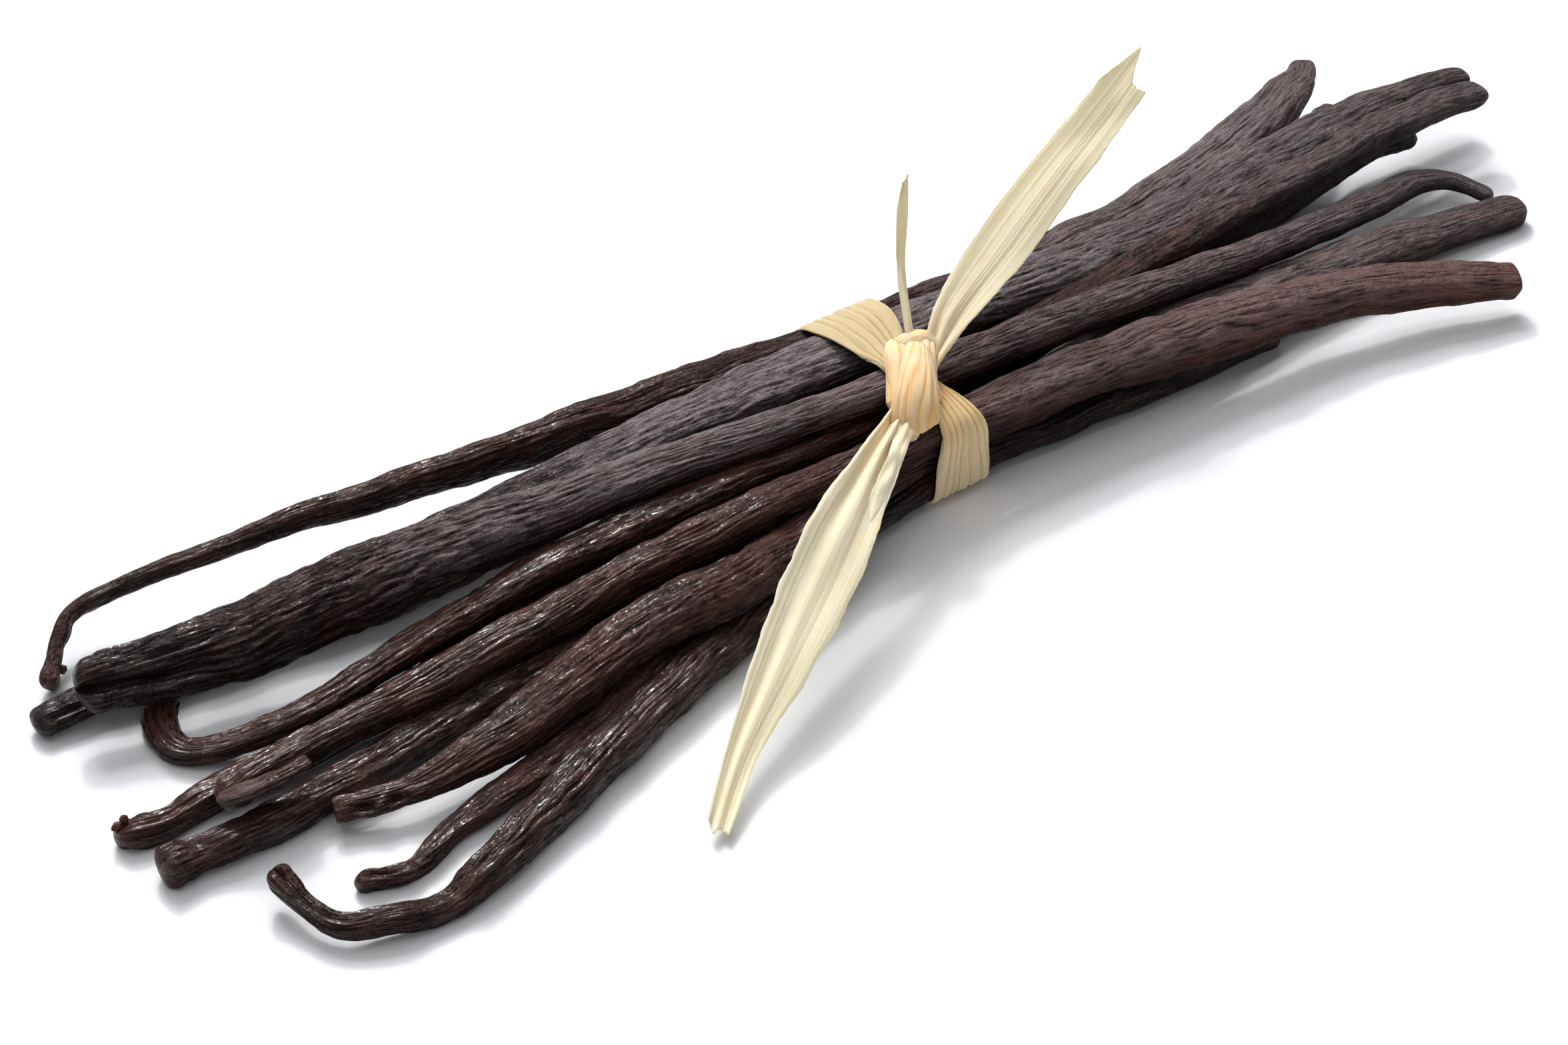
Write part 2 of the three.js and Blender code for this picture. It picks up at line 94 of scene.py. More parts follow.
PODS = {
    "pod_fat": Pod(
        way=(
            (-92, 14, 5.8, 5), (-80, 10.5, 6.5, 7), (-58, 7.5, 8.5, 7.9), (-35, 5.2, 9.5, 5.1),
            (-6, 0, 11.3, 4.1), (21.5, -0.9, 10.1, 4.3), (51, -0.5, 6.8, 3.7), (69, 1, 4.7, 3.5),
            (76.5, 2, 3.9, 3), (81.5, 1, 2.8, 2.3), (84.5, -3, 1.4, 1.8),
        ),
        slot="pod_black", flatness=0.64, roll=(42, 30), sided=0.35, folds=(0.32, 0.18, 0.1), pitch=0.82,
        wrinkles=(0.13, 0.1, 0.06), brown=(0.05, 0.6, 0.15),
        oily=(1.0, 0.42, 0.1, 0.0, 0.05, 0.1, 0.15, 0.15, 0.15), ends=("blunt", "round"),
        marks=(
            (0, 7.5, 146, 6.5, 0.7, -1.1), (0, 1.0, 143, 1.8, 0.6, -1.4), (0, 1.2, 92, 2.4, 1.5, 0.6),
            (0, 1.5, 188, 2.4, 1.5, 0.8), (0, 5, 75, 3.5, 0.5, -0.5), (0, 13, 78, 7, 1.2, 0.35),
            (0, 12, 176, 9, 0.6, 0.3),
        ),
    ),
    "pod_folded": Pod(
        way=(
            (-87.6, -6, 3.7, 3), (-80, -5.5, 4.2, 3.1), (-58.5, -5.8, 5.6, 4.5), (-34.5, -5.7, 7.6, 4.6),
            (-4, -7, 9.2, 4.2), (16, -7.5, 8.5, 5.4), (34, -8.5, 7.2, 6.4), (48, -10, 6.2, 5.7),
            (60, -13, 5.1, 5.2), (73, -18.5, 3.6, 4.1),
        ),
        slot="pod_brown", flatness=0.75, roll=(60, 38), ends=("round", "cut"), sided=0.85,
        brown=(0.5, 0.6, 1.2), oily=(0.9, 0.9, 0.8, 0.6, 0.3, 0.1, 0.1, 0.1, 0.2),
        flap=((-78.8, -8.7, 6.2, 1.9), (-82, -8.7, 5.9, 3), (-85.2, -8.1, 5.3, 3.3), (-87.8, -6.5, 4.3, 2.9)),
        flap_marks=(
            (0, 0.8, 110, 1.0, 0.7, 0.35), (0, 4.2, 128, 3.4, 0.35, -0.5), (0, 5.5, 160, 4, 0.4, -0.3),
        ),
        marks=(
            (1, 27, 125, 1.4, 0.9, 0.3), (1, 29.5, 118, 1.6, 0.8, -0.35), (1, 32, 128, 1.5, 0.9, 0.3),
        ),
    ),
    "pod_flat": Pod(
        way=(
            (-78.5, -12.5, 2.2, 2.8), (-73, -14.5, 2.7, 2.8), (-61, -15, 3.8, 4.9), (-39, -11.5, 6, 5.9),
            (-28.5, -12, 6.4, 5.5), (-2, -6, 5.9, 4.2), (16, -4.6, 5.4, 6.4), (35.5, -4.2, 4.6, 6.8),
            (68.5, -5, 2.7, 5.2), (86, -6.6, 1.6, 4),
        ),
        slot="pod_brown", flatness=0.62, roll=(28, 22), ends=("cut", "round"), sided=0.5,
        brown=(0.55, 0.55, 0.35), oily=(1.0, 0.6, 0.6, 0.5, 0.35, 0.15, 0.1, 0.15, 0.2),
        pitted=((-42, -10, 0.13), (-78, -70, 0.12)),
        marks=(
            (0, 3.0, 140, 0.75, 0.5, -1.3), (0, 6.0, 142, 0.85, 0.55, -1.3), (0, 3.0, 140, 1.4, 0.95, 0.35),
            (0, 6.0, 142, 1.5, 1.0, 0.35), (0, 1.2, 105, 1.2, 0.7, 0.35), (0, 2.0, 175, 4.0, 0.5, 0.3),
        ),
    ),
    "pod_back_thin": Pod(
        way=(
            (-92, 20.5, 1.1, 2.4), (-88.5, 24.5, 3.2, 1.8), (-85.5, 26, 4.3, 1.9), (-70, 24, 6.3, 2.1),
            (-43, 19, 7.8, 4), (-20, 15.5, 8.1, 4.7), (8.5, 13, 8.1, 4), (43, 12.5, 7.8, 4.8),
            (65, 17, 7.8, 6.1), (75, 21.1, 7.8, 4.3), (79.3, 24.6, 7.6, 2.1),
        ),
        slot="pod_black", flatness=0.78, roll=(100, 20), ends=("disc", "round"), sided=0.9,
        folds=(0.08, 0.16, 0.14), brown=(0.5, 0.3, 0.35),
        oily=(0.75, 0.7, 0.6, 0.55, 0.4, 0.3, 0.15, 0.05, 0.2), lumps=((-89.9, 21.5, 1.9, 1.0, 0.9, 0.4),),
        kinks=(0.35, 0.3, 0.25),
        marks=(
            (0, 6.5, 200, 1.2, 1.2, 0.35), (0, 11, 150, 1.5, 1.2, 0.3), (0, 24, 170, 2.5, 1.2, 0.25),
            (1, 4.5, 120, 1.2, 5, -0.25),
        ),
    ),
    "pod_shiny": Pod(
        way=(
            (-96, 16.5, 1.3, 3.5), (-80, 15, 2.8, 4.4), (-40, 12.2, 6.2, 5.2), (-14.5, 10.3, 8.3, 6.5),
            (2, 8.8, 9.1, 6.9), (38.5, 7.5, 8.4, 6.5), (72, 12, 7.4, 5.8), (84, 12.6, 7, 4.5),
            (94, 12.5, 6.3, 3.4),
        ),
        slot="pod_black", flatness=0.72, roll=(10, 20), sided=0.5, brown=(0.0, 0.15, 0.2),
        oily=(1.0, 0.9, 0.4, 0.08, 0.02, 0.1, 0.15, 0.15, 0.25), ends=("blunt", "blunt"),
        marks=(
            (0, 4.5, 130, 3.5, 0.5, -0.45), (1, 3, 120, 2, 1, 0.3),
        ),
    ),
    "pod_front_hook": Pod(
        way=(
            (-88, -16.8, 3.2, 2.7), (-87.5, -21.5, 2.5, 2.1), (-86, -25.5, 2.1, 2.3),
            (-82.5, -27.5, 1.9, 2.6), (-77, -29, 1.3, 3), (-68.5, -27, 1.8, 4.1), (-43, -18, 2.2, 4.8),
            (-4, -7, 2.8, 4), (30, -7.9, 2.6, 3.7), (39, -8.1, 1.9, 2.8), (46.5, -8.2, 1.1, 1.8),
        ),
        slot="pod_black", flatness=0.8, roll=(45, 30), sided=0.6, brown=(0.4, 0.3, 0.0),
        oily=(0.9, 0.7, 0.9, 0.9, 0.6, 0.4, 0.3), kinks=(0.25, 0.3, 0.2), folds=(0.16, 0.2, 0.14),
        marks=(
            (0, 1.2, 85, 1.5, 0.35, -0.8), (0, 1.8, 45, 1.8, 0.7, 0.35), (0, 1.8, 140, 1.8, 0.8, 0.35),
            (0, 7, 95, 6, 0.4, -0.45), (0, 7, 190, 6, 0.45, -0.35), (0, 15, 100, 2, 1.4, 0.45),
            (0, 21, 90, 1.2, 1.4, -0.5), (0, 24, 120, 2.6, 0.4, 0.4), (0, 26, 85, 3.0, 0.45, -0.4),
            (0, 29, 135, 3.4, 0.4, -0.4),
        ),
    ),
    "pod_hook": Pod(
        way=(
            (-84.2, 12.2, 1.7, 3.9), (-86.2, 8.2, 1.5, 3.4), (-85.9, 4.9, 1.3, 2.7), (-82.8, 2.4, 1.7, 2.6),
            (-75, 0.5, 2.9, 2.9), (-62.5, 1, 4.3, 3.3), (-42, 1.4, 6.4, 3.9), (-8, -0.5, 8.1, 3.8),
            (5, 0.5, 8.2, 3.8), (45, 4.5, 8.7, 4), (86, 8, 8, 3.8), (92, 7, 7.6, 3.4),
        ),
        slot="pod_brown", flatness=0.82, roll=(30, 20), sided=0.75, brown=(0.55, 0.5, 0.2),
        oily=(0.95, 0.95, 0.9, 0.7, 0.4, 0.2, 0.2),
        marks=(
            (0, 2.5, 120, 1.2, 0.9, -0.5), (0, 5, 135, 1.5, 0.8, -0.5), (0, 1.0, 60, 1.5, 1.0, 0.4),
        ),
    ),
    "pod_disc_end": Pod(
        way=(
            (-96, -9.5, 1.7, 3.9), (-81, -10, 1.9, 3.9), (-57, -8.2, 2.8, 4.3), (-34, -6, 3, 4.2),
            (0, 1.5, 2.9, 3.8), (50, 11, 1.9, 3.6), (82, 21.2, 1.4, 3),
        ),
        slot="pod_black", flatness=0.84, roll=(50, 20), ends=("disc", "round"), sided=0.7,
        lumpy=(0.4, 0.15), brown=(0.42, 0.42, 0.3), oily=(0.8, 0.95, 1.0, 0.9, 0.7, 0.4, 0.2, 0.15, 0.2),
        marks=(
            (0, 4.2, 90, 1.0, 9, -0.3), (0, 2.6, 70, 1.2, 0.9, 0.35), (0, 1.4, 150, 1.2, 1.0, 0.25),
            (0, 0.6, 100, 0.9, 0.5, -0.3), (0, 7.5, 130, 1, 0.7, 0.3),
        ),
    ),
    "pod_knob": Pod(
        way=(
            (-97, -2, 1.2, 2.6), (-93.5, -3.5, 1.2, 3.2), (-87, -3, 1.4, 3.4), (-55, -1.5, 2.6, 3.8),
            (0, 4, 5.7, 3.8), (35, 4.5, 5.1, 4.6), (60, 8, 4.3, 4.8), (76, 10.7, 3.7, 3.5),
            (84, 10, 3.1, 2.7),
        ),
        slot="pod_brown", flatness=0.84, roll=(20, 20), sided=0.5, brown=(0.55, 0.5, 0.2),
        oily=(1.0, 0.9, 0.9, 0.7, 0.4, 0.2, 0.2),
        lumps=((-96.4, -2.0, 2.2, 1.2, 1.0, 1.0), (-95.6, -1.9, 2.6, 0.9, 0.9, 0.6)), lumpy=(0.35, 0.15),
        marks=(
            (0, 1.8, 150, 2.2, 3, 0.35), (0, 0.9, 100, 0.8, 0.6, -0.4), (0, 6.5, 60, 1.6, 2, -0.3),
            (0, 5.5, 150, 5, 0.35, -0.3), (0, 6, 120, 4, 0.4, 0.3),
        ),
    ),
    "pod_front_thin": Pod(
        way=(
            (-81.5, -21, 0.9, 2.3), (-76.5, -22.5, 0.9, 2.3), (-70, -20.5, 1.1, 2.7), (-57, -18, 1.4, 3.4),
            (-22.5, -7.5, 2.3, 3.6), (-2, -3.5, 2.8, 3.6), (34, -4, 1.8, 3.6), (66, -8.5, 1.1, 2.8),
        ),
        slot="pod_black", flatness=0.84, roll=(-70, -20, 20, 20, 20), sided=0.7, brown=(0.5, 0.5, 0.3),
        oily=(0.9, 0.35, 0.5, 0.8, 0.6, 0.4, 0.3),
        marks=(
            (0, 1.5, 80, 1.8, 0.5, 0.4), (0, 3.0, 110, 1.8, 0.35, -0.5), (0, 6.5, 120, 0.9, 2, -0.3),
        ),
    ),
}

# The two edges of the band: [degrees round from the knot, over the back, X].
BAND_NEAR_EDGE = ((0, -2.8), (20, -2.4), (112, -2.6), (280, -2.4), (326, -2.3), (346, -0.4), (360, 0))
BAND_FAR_EDGE = (
    (0, -0.8), (32, 1.4), (64, 3.2), (112, 6.7), (240, 6.8), (300, 4.6), (336, 3.3), (360, 1.2),
)

UPPER_TAIL = (
    (0.5, -2.6, 13.8, 2.2), (3, -1.4, 15, 2.6), (7, 0.7, 16.6, 4.2), (15.5, 3.5, 20, 6),
    (26, 6.5, 24.5, 5.7), (32.3, 7.7, 27.9, 5.3), (36.3, 8.3, 30.5, 4.9),
)
UPPER_TAIL_FACING = (-0.2, -0.42, 0.88)
LOWER_TAIL = (
    (-2.6, -4.6, 13.6, 2), (-5.7, -6.6, 12.9, 2.4), (-11, -10, 12.2, 4.2), (-19, -15, 10.5, 6.9),
    (-26, -19.5, 8.5, 7.2), (-34, -24.5, 6.2, 5.8), (-42, -29.5, 3.6, 3.5), (-49.5, -35.5, 1.2, 2.5),
)
LOWER_TAIL_FACING = (0, -0.4, 0.9)
LOWER_FOLD = (
    (-3.6, -6.4, 13.2, 1.6), (-6.5, -8.6, 12.9, 1.7), (-9.5, -11.0, 12.4, 1.6), (-13, -13.4, 11.2, 1.9),
    (-18, -16.6, 9.0, 1.4),
)
SHRED = (
    (0.8, -1.4, 13.4, 0.9), (2, 1.8, 16, 0.8), (4.6, 6.8, 20, 0.8), (6.3, 9, 25, 1.1), (7, 9.5, 29, 0.5),
)
SHRED_FACING = (-0.45, -0.62, 0.64)

# The ragged ends of the leaves: [from -1 to 1 across the leaf, mm added to its end].
TORN = (
    (-1, 0), (-0.92, 0.2), (-0.6, -0.15), (-0.2, 0.35), (0.05, 1.6), (0.15, 2.2), (0.43, 4.2), (0.51, 3.3),
    (0.67, 1.7), (0.95, -0.7), (1, -1),
)
FRAYED = ((-1, -1.2), (-0.2, 0.6), (0.3, -0.4), (1, 0.3))
SLANTED = ((-1, 0.6), (1, -0.6))

# The free leaves: way, facing, rows, columns, seed, pleats, ragged end.
LEAVES = {
    "raffia_upper_tail": (UPPER_TAIL, UPPER_TAIL_FACING, 220, 70, 601, (2.4, 0.22, 0.03), TORN),
    "raffia_lower_tail": (LOWER_TAIL, LOWER_TAIL_FACING, 260, 70, 611, (2.2, 0.5, 0.12), FRAYED),
    "raffia_lower_fold": (LOWER_FOLD, LOWER_TAIL_FACING, 120, 24, 621, (1, 0.3, 0.1), ()),
    "raffia_shred": (SHRED, SHRED_FACING, 140, 12, 631, (1, 0.1, 0.03), SLANTED),
}

# The knot's strands: way, flatness, number of pleats round it.
KNOT_STRANDS = (
    (
        ((1.2, 3, 13.6, 2.4), (-0.6, 0.2, 14.5, 3.1), (-2.8, -2.9, 13.8, 2.8), (-5.2, -5.6, 12.6, 2.4)),
        0.8,
        7,
    ),
    (
        ((3.3, 0.6, 14.7, 2.4), (1.6, -1.6, 14.8, 2.6), (-0.2, -4.2, 13.5, 2.3), (0.1, -6, 11.6, 1.6)),
        0.8,
        7,
    ),
    (
        ((-0.6, 0.7, 13.8, 2.6), (1, 0.8, 14.4, 3.2), (2.5, 0.1, 14.6, 3.3), (2.8, -1.8, 14.1, 2.6)),
        0.8,
        9,
    ),
    (
        (
            (2.3, 0.9, 14.3, 2.6), (1.1, -0.7, 15.3, 2.8), (-0.5, -2.8, 15.7, 3.2), (-2.2, -5.0, 15.2, 4.2),
            (-3.7, -6.7, 13.9, 5.0), (-4.5, -7.6, 12.4, 4.9), (-4.2, -7.2, 11.4, 3.4),
        ),
        0.52,
        11,
    ),
)

# ---- Sizes and colours that a user may change ----


class PodLooks(bpy.types.PropertyGroup):
    """The pods' skin."""

    fold_depth: FloatProperty(
        name="Fold depth", description="Depth of the long folds, as a share of each pod's own", default=1.0,
        min=0.0, max=2.0,
    )
    wrinkle_depth: FloatProperty(
        name="Wrinkle depth", description="Depth of the fine wrinkles, as a share of each pod's own",
        default=1.0, min=0.0, max=2.0,
    )
    black: FloatVectorProperty(
        name="Black skin", description="Colour of the darkest skin", subtype="COLOR",
        default=(0.0115, 0.0065, 0.0075), min=0.0, max=1.0,
    )
    brown: FloatVectorProperty(
        name="Brown skin", description="Colour of the palest reddish skin", subtype="COLOR",
        default=(0.11, 0.04, 0.028), min=0.0, max=1.0,
    )
    # the bloom is mixed in only on the sides turned to the lamps, so this colour is also painted sheen
    bloom_and_sheen: FloatVectorProperty(
        name="Dull skin", description="Colour of the greyish bloom on dull skin", subtype="COLOR",
        default=(0.3, 0.252, 0.265), min=0.0, max=1.0,
    )
    column_gap: FloatProperty(
        name="Column gap", description="Distance between the columns of faces round a pod",
        subtype="DISTANCE", unit="LENGTH", default=0.115 * MM, min=0.05 * MM, max=2 * MM,
    )
    ring_gap: FloatProperty(
        name="Ring gap", description="Distance between the rings of faces along a pod", subtype="DISTANCE",
        unit="LENGTH", default=0.42 * MM, min=0.1 * MM, max=5 * MM,
    )


class RaffiaLooks(bpy.types.PropertyGroup):
    """The raffia strip."""

    thickness: FloatProperty(
        name="Leaf thickness", description="Thickness of the raffia leaf", subtype="DISTANCE",
        unit="LENGTH", default=0.22 * MM, min=0.05 * MM, max=1 * MM,
    )
    pale: FloatVectorProperty(
        name="Pale leaf", description="Colour of the thin, flat leaf", subtype="COLOR",
        default=(0.97, 0.865, 0.66), min=0.0, max=1.0,
    )
    # in pleat valleys, on the band's underside and at the tails' starts this warmer colour is painted shade
    warm: FloatVectorProperty(
        name="Warm leaf", description="Colour where the leaf is gathered or lies in folds", subtype="COLOR",
        default=(0.93, 0.55, 0.2), min=0.0, max=1.0,
    )
    # painted shade: the colour that darkens the band on top and the tails' starts
    tan: FloatVectorProperty(
        name="Tanned leaf", description="Colour of the band on top, where the leaf has darkened",
        subtype="COLOR", default=(0.52, 0.41, 0.22), min=0.0, max=1.0,
    )


class StudioLooks(bpy.types.PropertyGroup):
    """The floor and the lights."""

    floor: FloatVectorProperty(
        name="Floor", description="Colour of the floor", subtype="COLOR", default=(0.865, 0.88, 0.91),
        min=0.0, max=1.0,
    )
    key_power: FloatProperty(
        name="Key light", description="Power of the soft light behind the bundle", subtype="POWER",
        unit="POWER", default=6.4, min=0.0,
    )
    top_power: FloatProperty(
        name="Top light", description="Power of the very large light overhead", subtype="POWER",
        unit="POWER", default=9.5, min=0.0,
    )
    glint_power: FloatProperty(
        name="Glint light", description="Power of the small light that makes the glints on oily skin",
        subtype="POWER", unit="POWER", default=2.4, min=0.0,
    )
    fill_power: FloatProperty(
        name="Fill light", description="Power of the soft light from the viewer's side", subtype="POWER",
        unit="POWER", default=1.3, min=0.0,
    )
    sky: FloatProperty(
        name="Surrounding light", description="Strength of the even light from all round", default=0.12,
        min=0.0,
    )


# ---- Noise and ways ----

WAY_SAMPLES = 2000  # places at which a way's length is added up
TANGENT_STEP = 0.001  # how far before and after a place its direction is taken, as a share of the way


def fade(t):
    """The quintic 6t^5 - 15t^4 + 10t^3, which goes from 0 to 1 and is level at both ends."""
    return t * t * t * (t * (6 * t - 15) + 10)


def noise(seed, along, around, cells):
    """Gradient noise, about -1 to 1: at each corner of a grid a slope in a random direction, the four
    nearest blended by the quintic fade. along is 0 or more, and around closes on itself after cells."""
    draw = np.random.default_rng(seed)
    angle = draw.uniform(0, 2 * np.pi, (int(np.max(along)) + 3, cells))
    row = np.floor(along).astype(int)
    column = np.floor(around).astype(int)
    over = along - row
    across = around - column
    corners = []
    for i in (0, 1):
        for j in (0, 1):
            turn = angle[row + i, (column + j) % cells]
            corners.append(np.cos(turn) * (over - i) + np.sin(turn) * (across - j))
    side = fade(across)
    first = corners[0] + (corners[1] - corners[0]) * side
    second = corners[2] + (corners[3] - corners[2]) * side
    return 1.5 * (first + (second - first) * fade(over))


def ring_noise(seed, along, turn, cells):
    """Noise in which so many cells go once round a pod or a strand."""
    return noise(seed, along, turn / (2 * np.pi) * cells, cells)


def line_noise(seed, along):
    """Noise that changes only along a pod."""
    return noise(seed, along, 0 * along, 2)


def full_turn(columns):
    """The angles of the columns of a closed tube, as a row."""
    return np.linspace(0, 2 * np.pi, columns, endpoint=False)[None, :]


def along_way(way, t):
    """The places [x, y, z, width] at each t from 0 to 1: a centripetal Catmull-Rom spline, each span a
    cubic whose slopes come from its neighbours, with knots the square root of the distance apart."""
    places = np.asarray(way, float)
    p = np.vstack([2 * places[0] - places[1], places, 2 * places[-1] - places[-2]])
    knots = np.sum(np.diff(p[:, :3], axis=0) ** 2, axis=1) ** 0.25
    at = np.asarray(t) * (len(places) - 1)
    i = np.minimum(at.astype(int), len(places) - 2)
    f = (at - i)[:, None]
    p0, p1, p2, p3 = p[i], p[i + 1], p[i + 2], p[i + 3]
    d0, d1, d2 = (knots[i + k][:, None] for k in range(3))
    slope1 = ((p1 - p0) / d0 - (p2 - p0) / (d0 + d1) + (p2 - p1) / d1) * d1
    slope2 = ((p2 - p1) / d1 - (p3 - p1) / (d1 + d2) + (p3 - p2) / d2) * d1
    bend = -3 * p1 + 3 * p2 - 2 * slope1 - slope2
    return p1 + slope1 * f + bend * f**2 + (2 * p1 - 2 * p2 + slope1 + slope2) * f**3


def unit(v):
    """Vectors scaled to length 1."""
    return v / np.linalg.norm(v, axis=-1, keepdims=True)


def measured(way):
    """A function from lengths along a way, in mm, to t, and the way's whole length."""
    t = np.linspace(0, 1, WAY_SAMPLES)
    steps = np.linalg.norm(np.diff(along_way(way, t)[:, :3], axis=0), axis=1)
    length = np.concatenate([[0], np.cumsum(steps)])
    return lambda s: np.interp(s, length, t), length[-1]


def tangents(way, t):
    """Unit vectors along a way, from places a little before and after each t."""
    before = along_way(way, np.maximum(t - TANGENT_STEP, 0))[:, :3]
    after = along_way(way, np.minimum(t + TANGENT_STEP, 1))[:, :3]
    return unit(after - before)


def spread(values, share):
    """Values spread evenly along a length, from the first at 0 to the last at 1."""
    return np.interp(share, np.linspace(0, 1, len(values)), values)


# ---- Meshes ----


def new_piece(name, points, quads, triangles, attributes):
    """A smooth-shaded mesh object from points in mm, face corners and values on the points."""
    mesh = bpy.data.meshes.new(name)
    mesh.vertices.add(len(points))
    mesh.vertices.foreach_set("co", ((points + TIE) * MM).astype(np.float32).ravel())
    corners = np.concatenate([quads.ravel(), triangles.ravel()]).astype(np.int32)
    sizes = np.repeat((4, 3), (len(quads), len(triangles))).astype(np.int32)
    mesh.loops.add(len(corners))
    mesh.loops.foreach_set("vertex_index", corners)
    mesh.polygons.add(len(sizes))
    mesh.polygons.foreach_set("loop_start", (np.cumsum(sizes) - sizes).astype(np.int32))
    mesh.update(calc_edges=True)
    mesh.shade_smooth()
    for key, values in attributes.items():
        kind = "FLOAT" if values.ndim == 1 else "FLOAT_VECTOR"
        field_name = "value" if values.ndim == 1 else "vector"
        attribute = mesh.attributes.new(key, kind, "POINT")
        attribute.data.foreach_set(field_name, values.astype(np.float32).ravel())
    if mesh.validate():
        raise RuntimeError(f"{name} has faces that don't fit together")
    piece = bpy.data.objects.new(name, mesh)
    bpy.context.scene.collection.objects.link(piece)
    return piece


def tube_faces(rings, columns, first):
    """Quads between the rings of a closed tube and triangles to its two poles. Its points are the
    rings' points, ring by ring from first, then the pole before them and the pole after."""
    ring = first + np.arange(rings - 1)[:, None] * columns
    here = np.arange(columns)[None, :]
    after = (here + 1) % columns
    quads = np.stack([ring + here, ring + after, ring + columns + after, ring + columns + here], -1)
    pole = first + rings * columns
    last = first + (rings - 1) * columns
    start = np.stack([np.full(columns, pole), first + after[0], first + here[0]], -1)
    end = np.stack([np.full(columns, pole + 1), last + here[0], last + after[0]], -1)
    return quads.reshape(-1, 4), np.concatenate([start, end])


def join_parts(parts):
    """Several tubes' points, faces and values as one mesh's."""
    points = np.concatenate([part["points"] for part in parts])
    starts = np.cumsum([0] + [len(part["points"]) for part in parts[:-1]])
    quads, triangles = [], []
    for part, first in zip(parts, starts):
        q, t = tube_faces(part["rings"], part["columns"], first)
        quads.append(q)
        triangles.append(t)
    keys = parts[0]["values"]
    values = {key: np.concatenate([part["values"][key] for part in parts]) for key in keys}
    return points, np.concatenate(quads), np.concatenate(triangles), values


def with_poles(grid, pointed):
    """A grid of rings as a list of points, followed by its two poles, the middles of the end rings. In a
    pointed tube the end rings have no width, so they only give the poles."""
    rings = grid[1:-1] if pointed else grid
    flat = rings.reshape((-1,) + grid.shape[2:])
    return np.concatenate([flat, grid[:1].mean(axis=1), grid[-1:].mean(axis=1)])


def tube_part(grid, values, pointed=False):
    """A closed tube for join_parts, from its grid of rings and the numbers, grids or vectors on it."""
    columns = grid.shape[1]
    points = with_poles(grid, pointed)
    part = {"points": points, "rings": (len(points) - 2) // columns, "columns": columns, "values": {}}
    for key, value in values.items():
        whole = value if np.ndim(value) == 3 else value + np.zeros(grid.shape[:2])
        part["values"][key] = with_poles(whole, pointed)
    return part


# ---- Pods ----

END_RINGS = 12  # rings of faces on an end's curve
FACE_RINGS = 8  # rings of faces on a flat end
DIMPLE = 0.22  # how far the middle of a flat end is sunk, as a share of the half width
# For each kind of end, the power of its curve, 2 being a quarter circle, and its length in half widths
# and the radius of its flat face in half widths.
ENDS = {"round": (2.0, 1.0, 0.0), "blunt": (2.4, 0.85, 0.0), "cut": (2.0, 0.2, 0.8), "disc": (2.3, 0.75, 0.0)}


def end_rings(kind, half):
    """How far in from the tip each ring of an end is, and its share of the full width: a dimpled flat
    face if it has one, then the curve 1 - cos^(2/n) along by sin^(2/n) out."""
    power, reach, flat = ENDS[kind]
    turn = np.linspace(0, np.pi / 2, END_RINGS + 1)[1:]
    inset = reach * half * (1 - np.cos(turn) ** (2 / power))
    share = flat + (1 - flat) * np.sin(turn) ** (2 / power)
    if flat:
        face = np.linspace(0, 1, FACE_RINGS + 1)[1:-1]
        inset = np.concatenate([DIMPLE * half * (1 - face**2), inset])
        share = np.concatenate([flat * face, share])
    return inset, share


def pod_rings(pod, way, ring_gap):
    """Where a pod's rings are along its way, in mm from its start, and their shares of the width."""
    _, length = measured(way)
    first, first_share = end_rings(pod.ends[0], way[0][3] / 2)
    last, last_share = end_rings(pod.ends[1], way[-1][3] / 2)
    count = int((length - first[-1] - last[-1]) / ring_gap)
    middle = np.linspace(first[-1], length - last[-1], count + 1)[1:-1]
    s = np.concatenate([first, middle, length - last[::-1]])
    share = np.concatenate([first_share, np.ones(len(middle)), last_share[::-1]])
    return s, share


# The lengths of the skin's folds, wrinkles and lines along a pod, in mm.
FOLD_LENGTH, WRINKLE_LENGTH, LINE_LENGTH = 13, 4, 1.2
LEAD = 10.0  # mm added to a length along a pod before it goes into noise, which takes none below 0
FLOOR_GAP = 0.02  # the height of a skin's lowest points, mm
PIT_PITCH = (0.85, 0.75)  # from pit to pit along and round a pod, mm
PIT_FADE = 3  # the stretch over which the rows of pits die out, mm
END_LUMP_LENGTH = 1.8  # mm
END_LUMP_REACH = 5  # how far from an end its lumps fall to a third, mm
FLARE = 0.12  # how much wider a disc end is, as a share of its width
FLARE_REACH = 1.2  # where the disc is widest, and how fast it fades from there, mm
SMOOTH_REACH = 2.5  # the stretch at each end over which the relief fades, mm


def creases(seed, s, turn, cells, stretch, wander):
    """Round ridges with sharp valleys: the absolute value of noise that is stretched along the pod and
    moved round by wander, with a second, shorter one laid over it so that the ridges fork."""
    place = (turn / (2 * np.pi) * cells + wander * cells / 6) % cells
    long_ones = np.abs(noise(seed, s / stretch, place, cells))
    short_ones = np.abs(noise(seed + 1, s / (0.45 * stretch), place, cells))
    return np.minimum(long_ones + 0.5 * short_ones, 0.8)


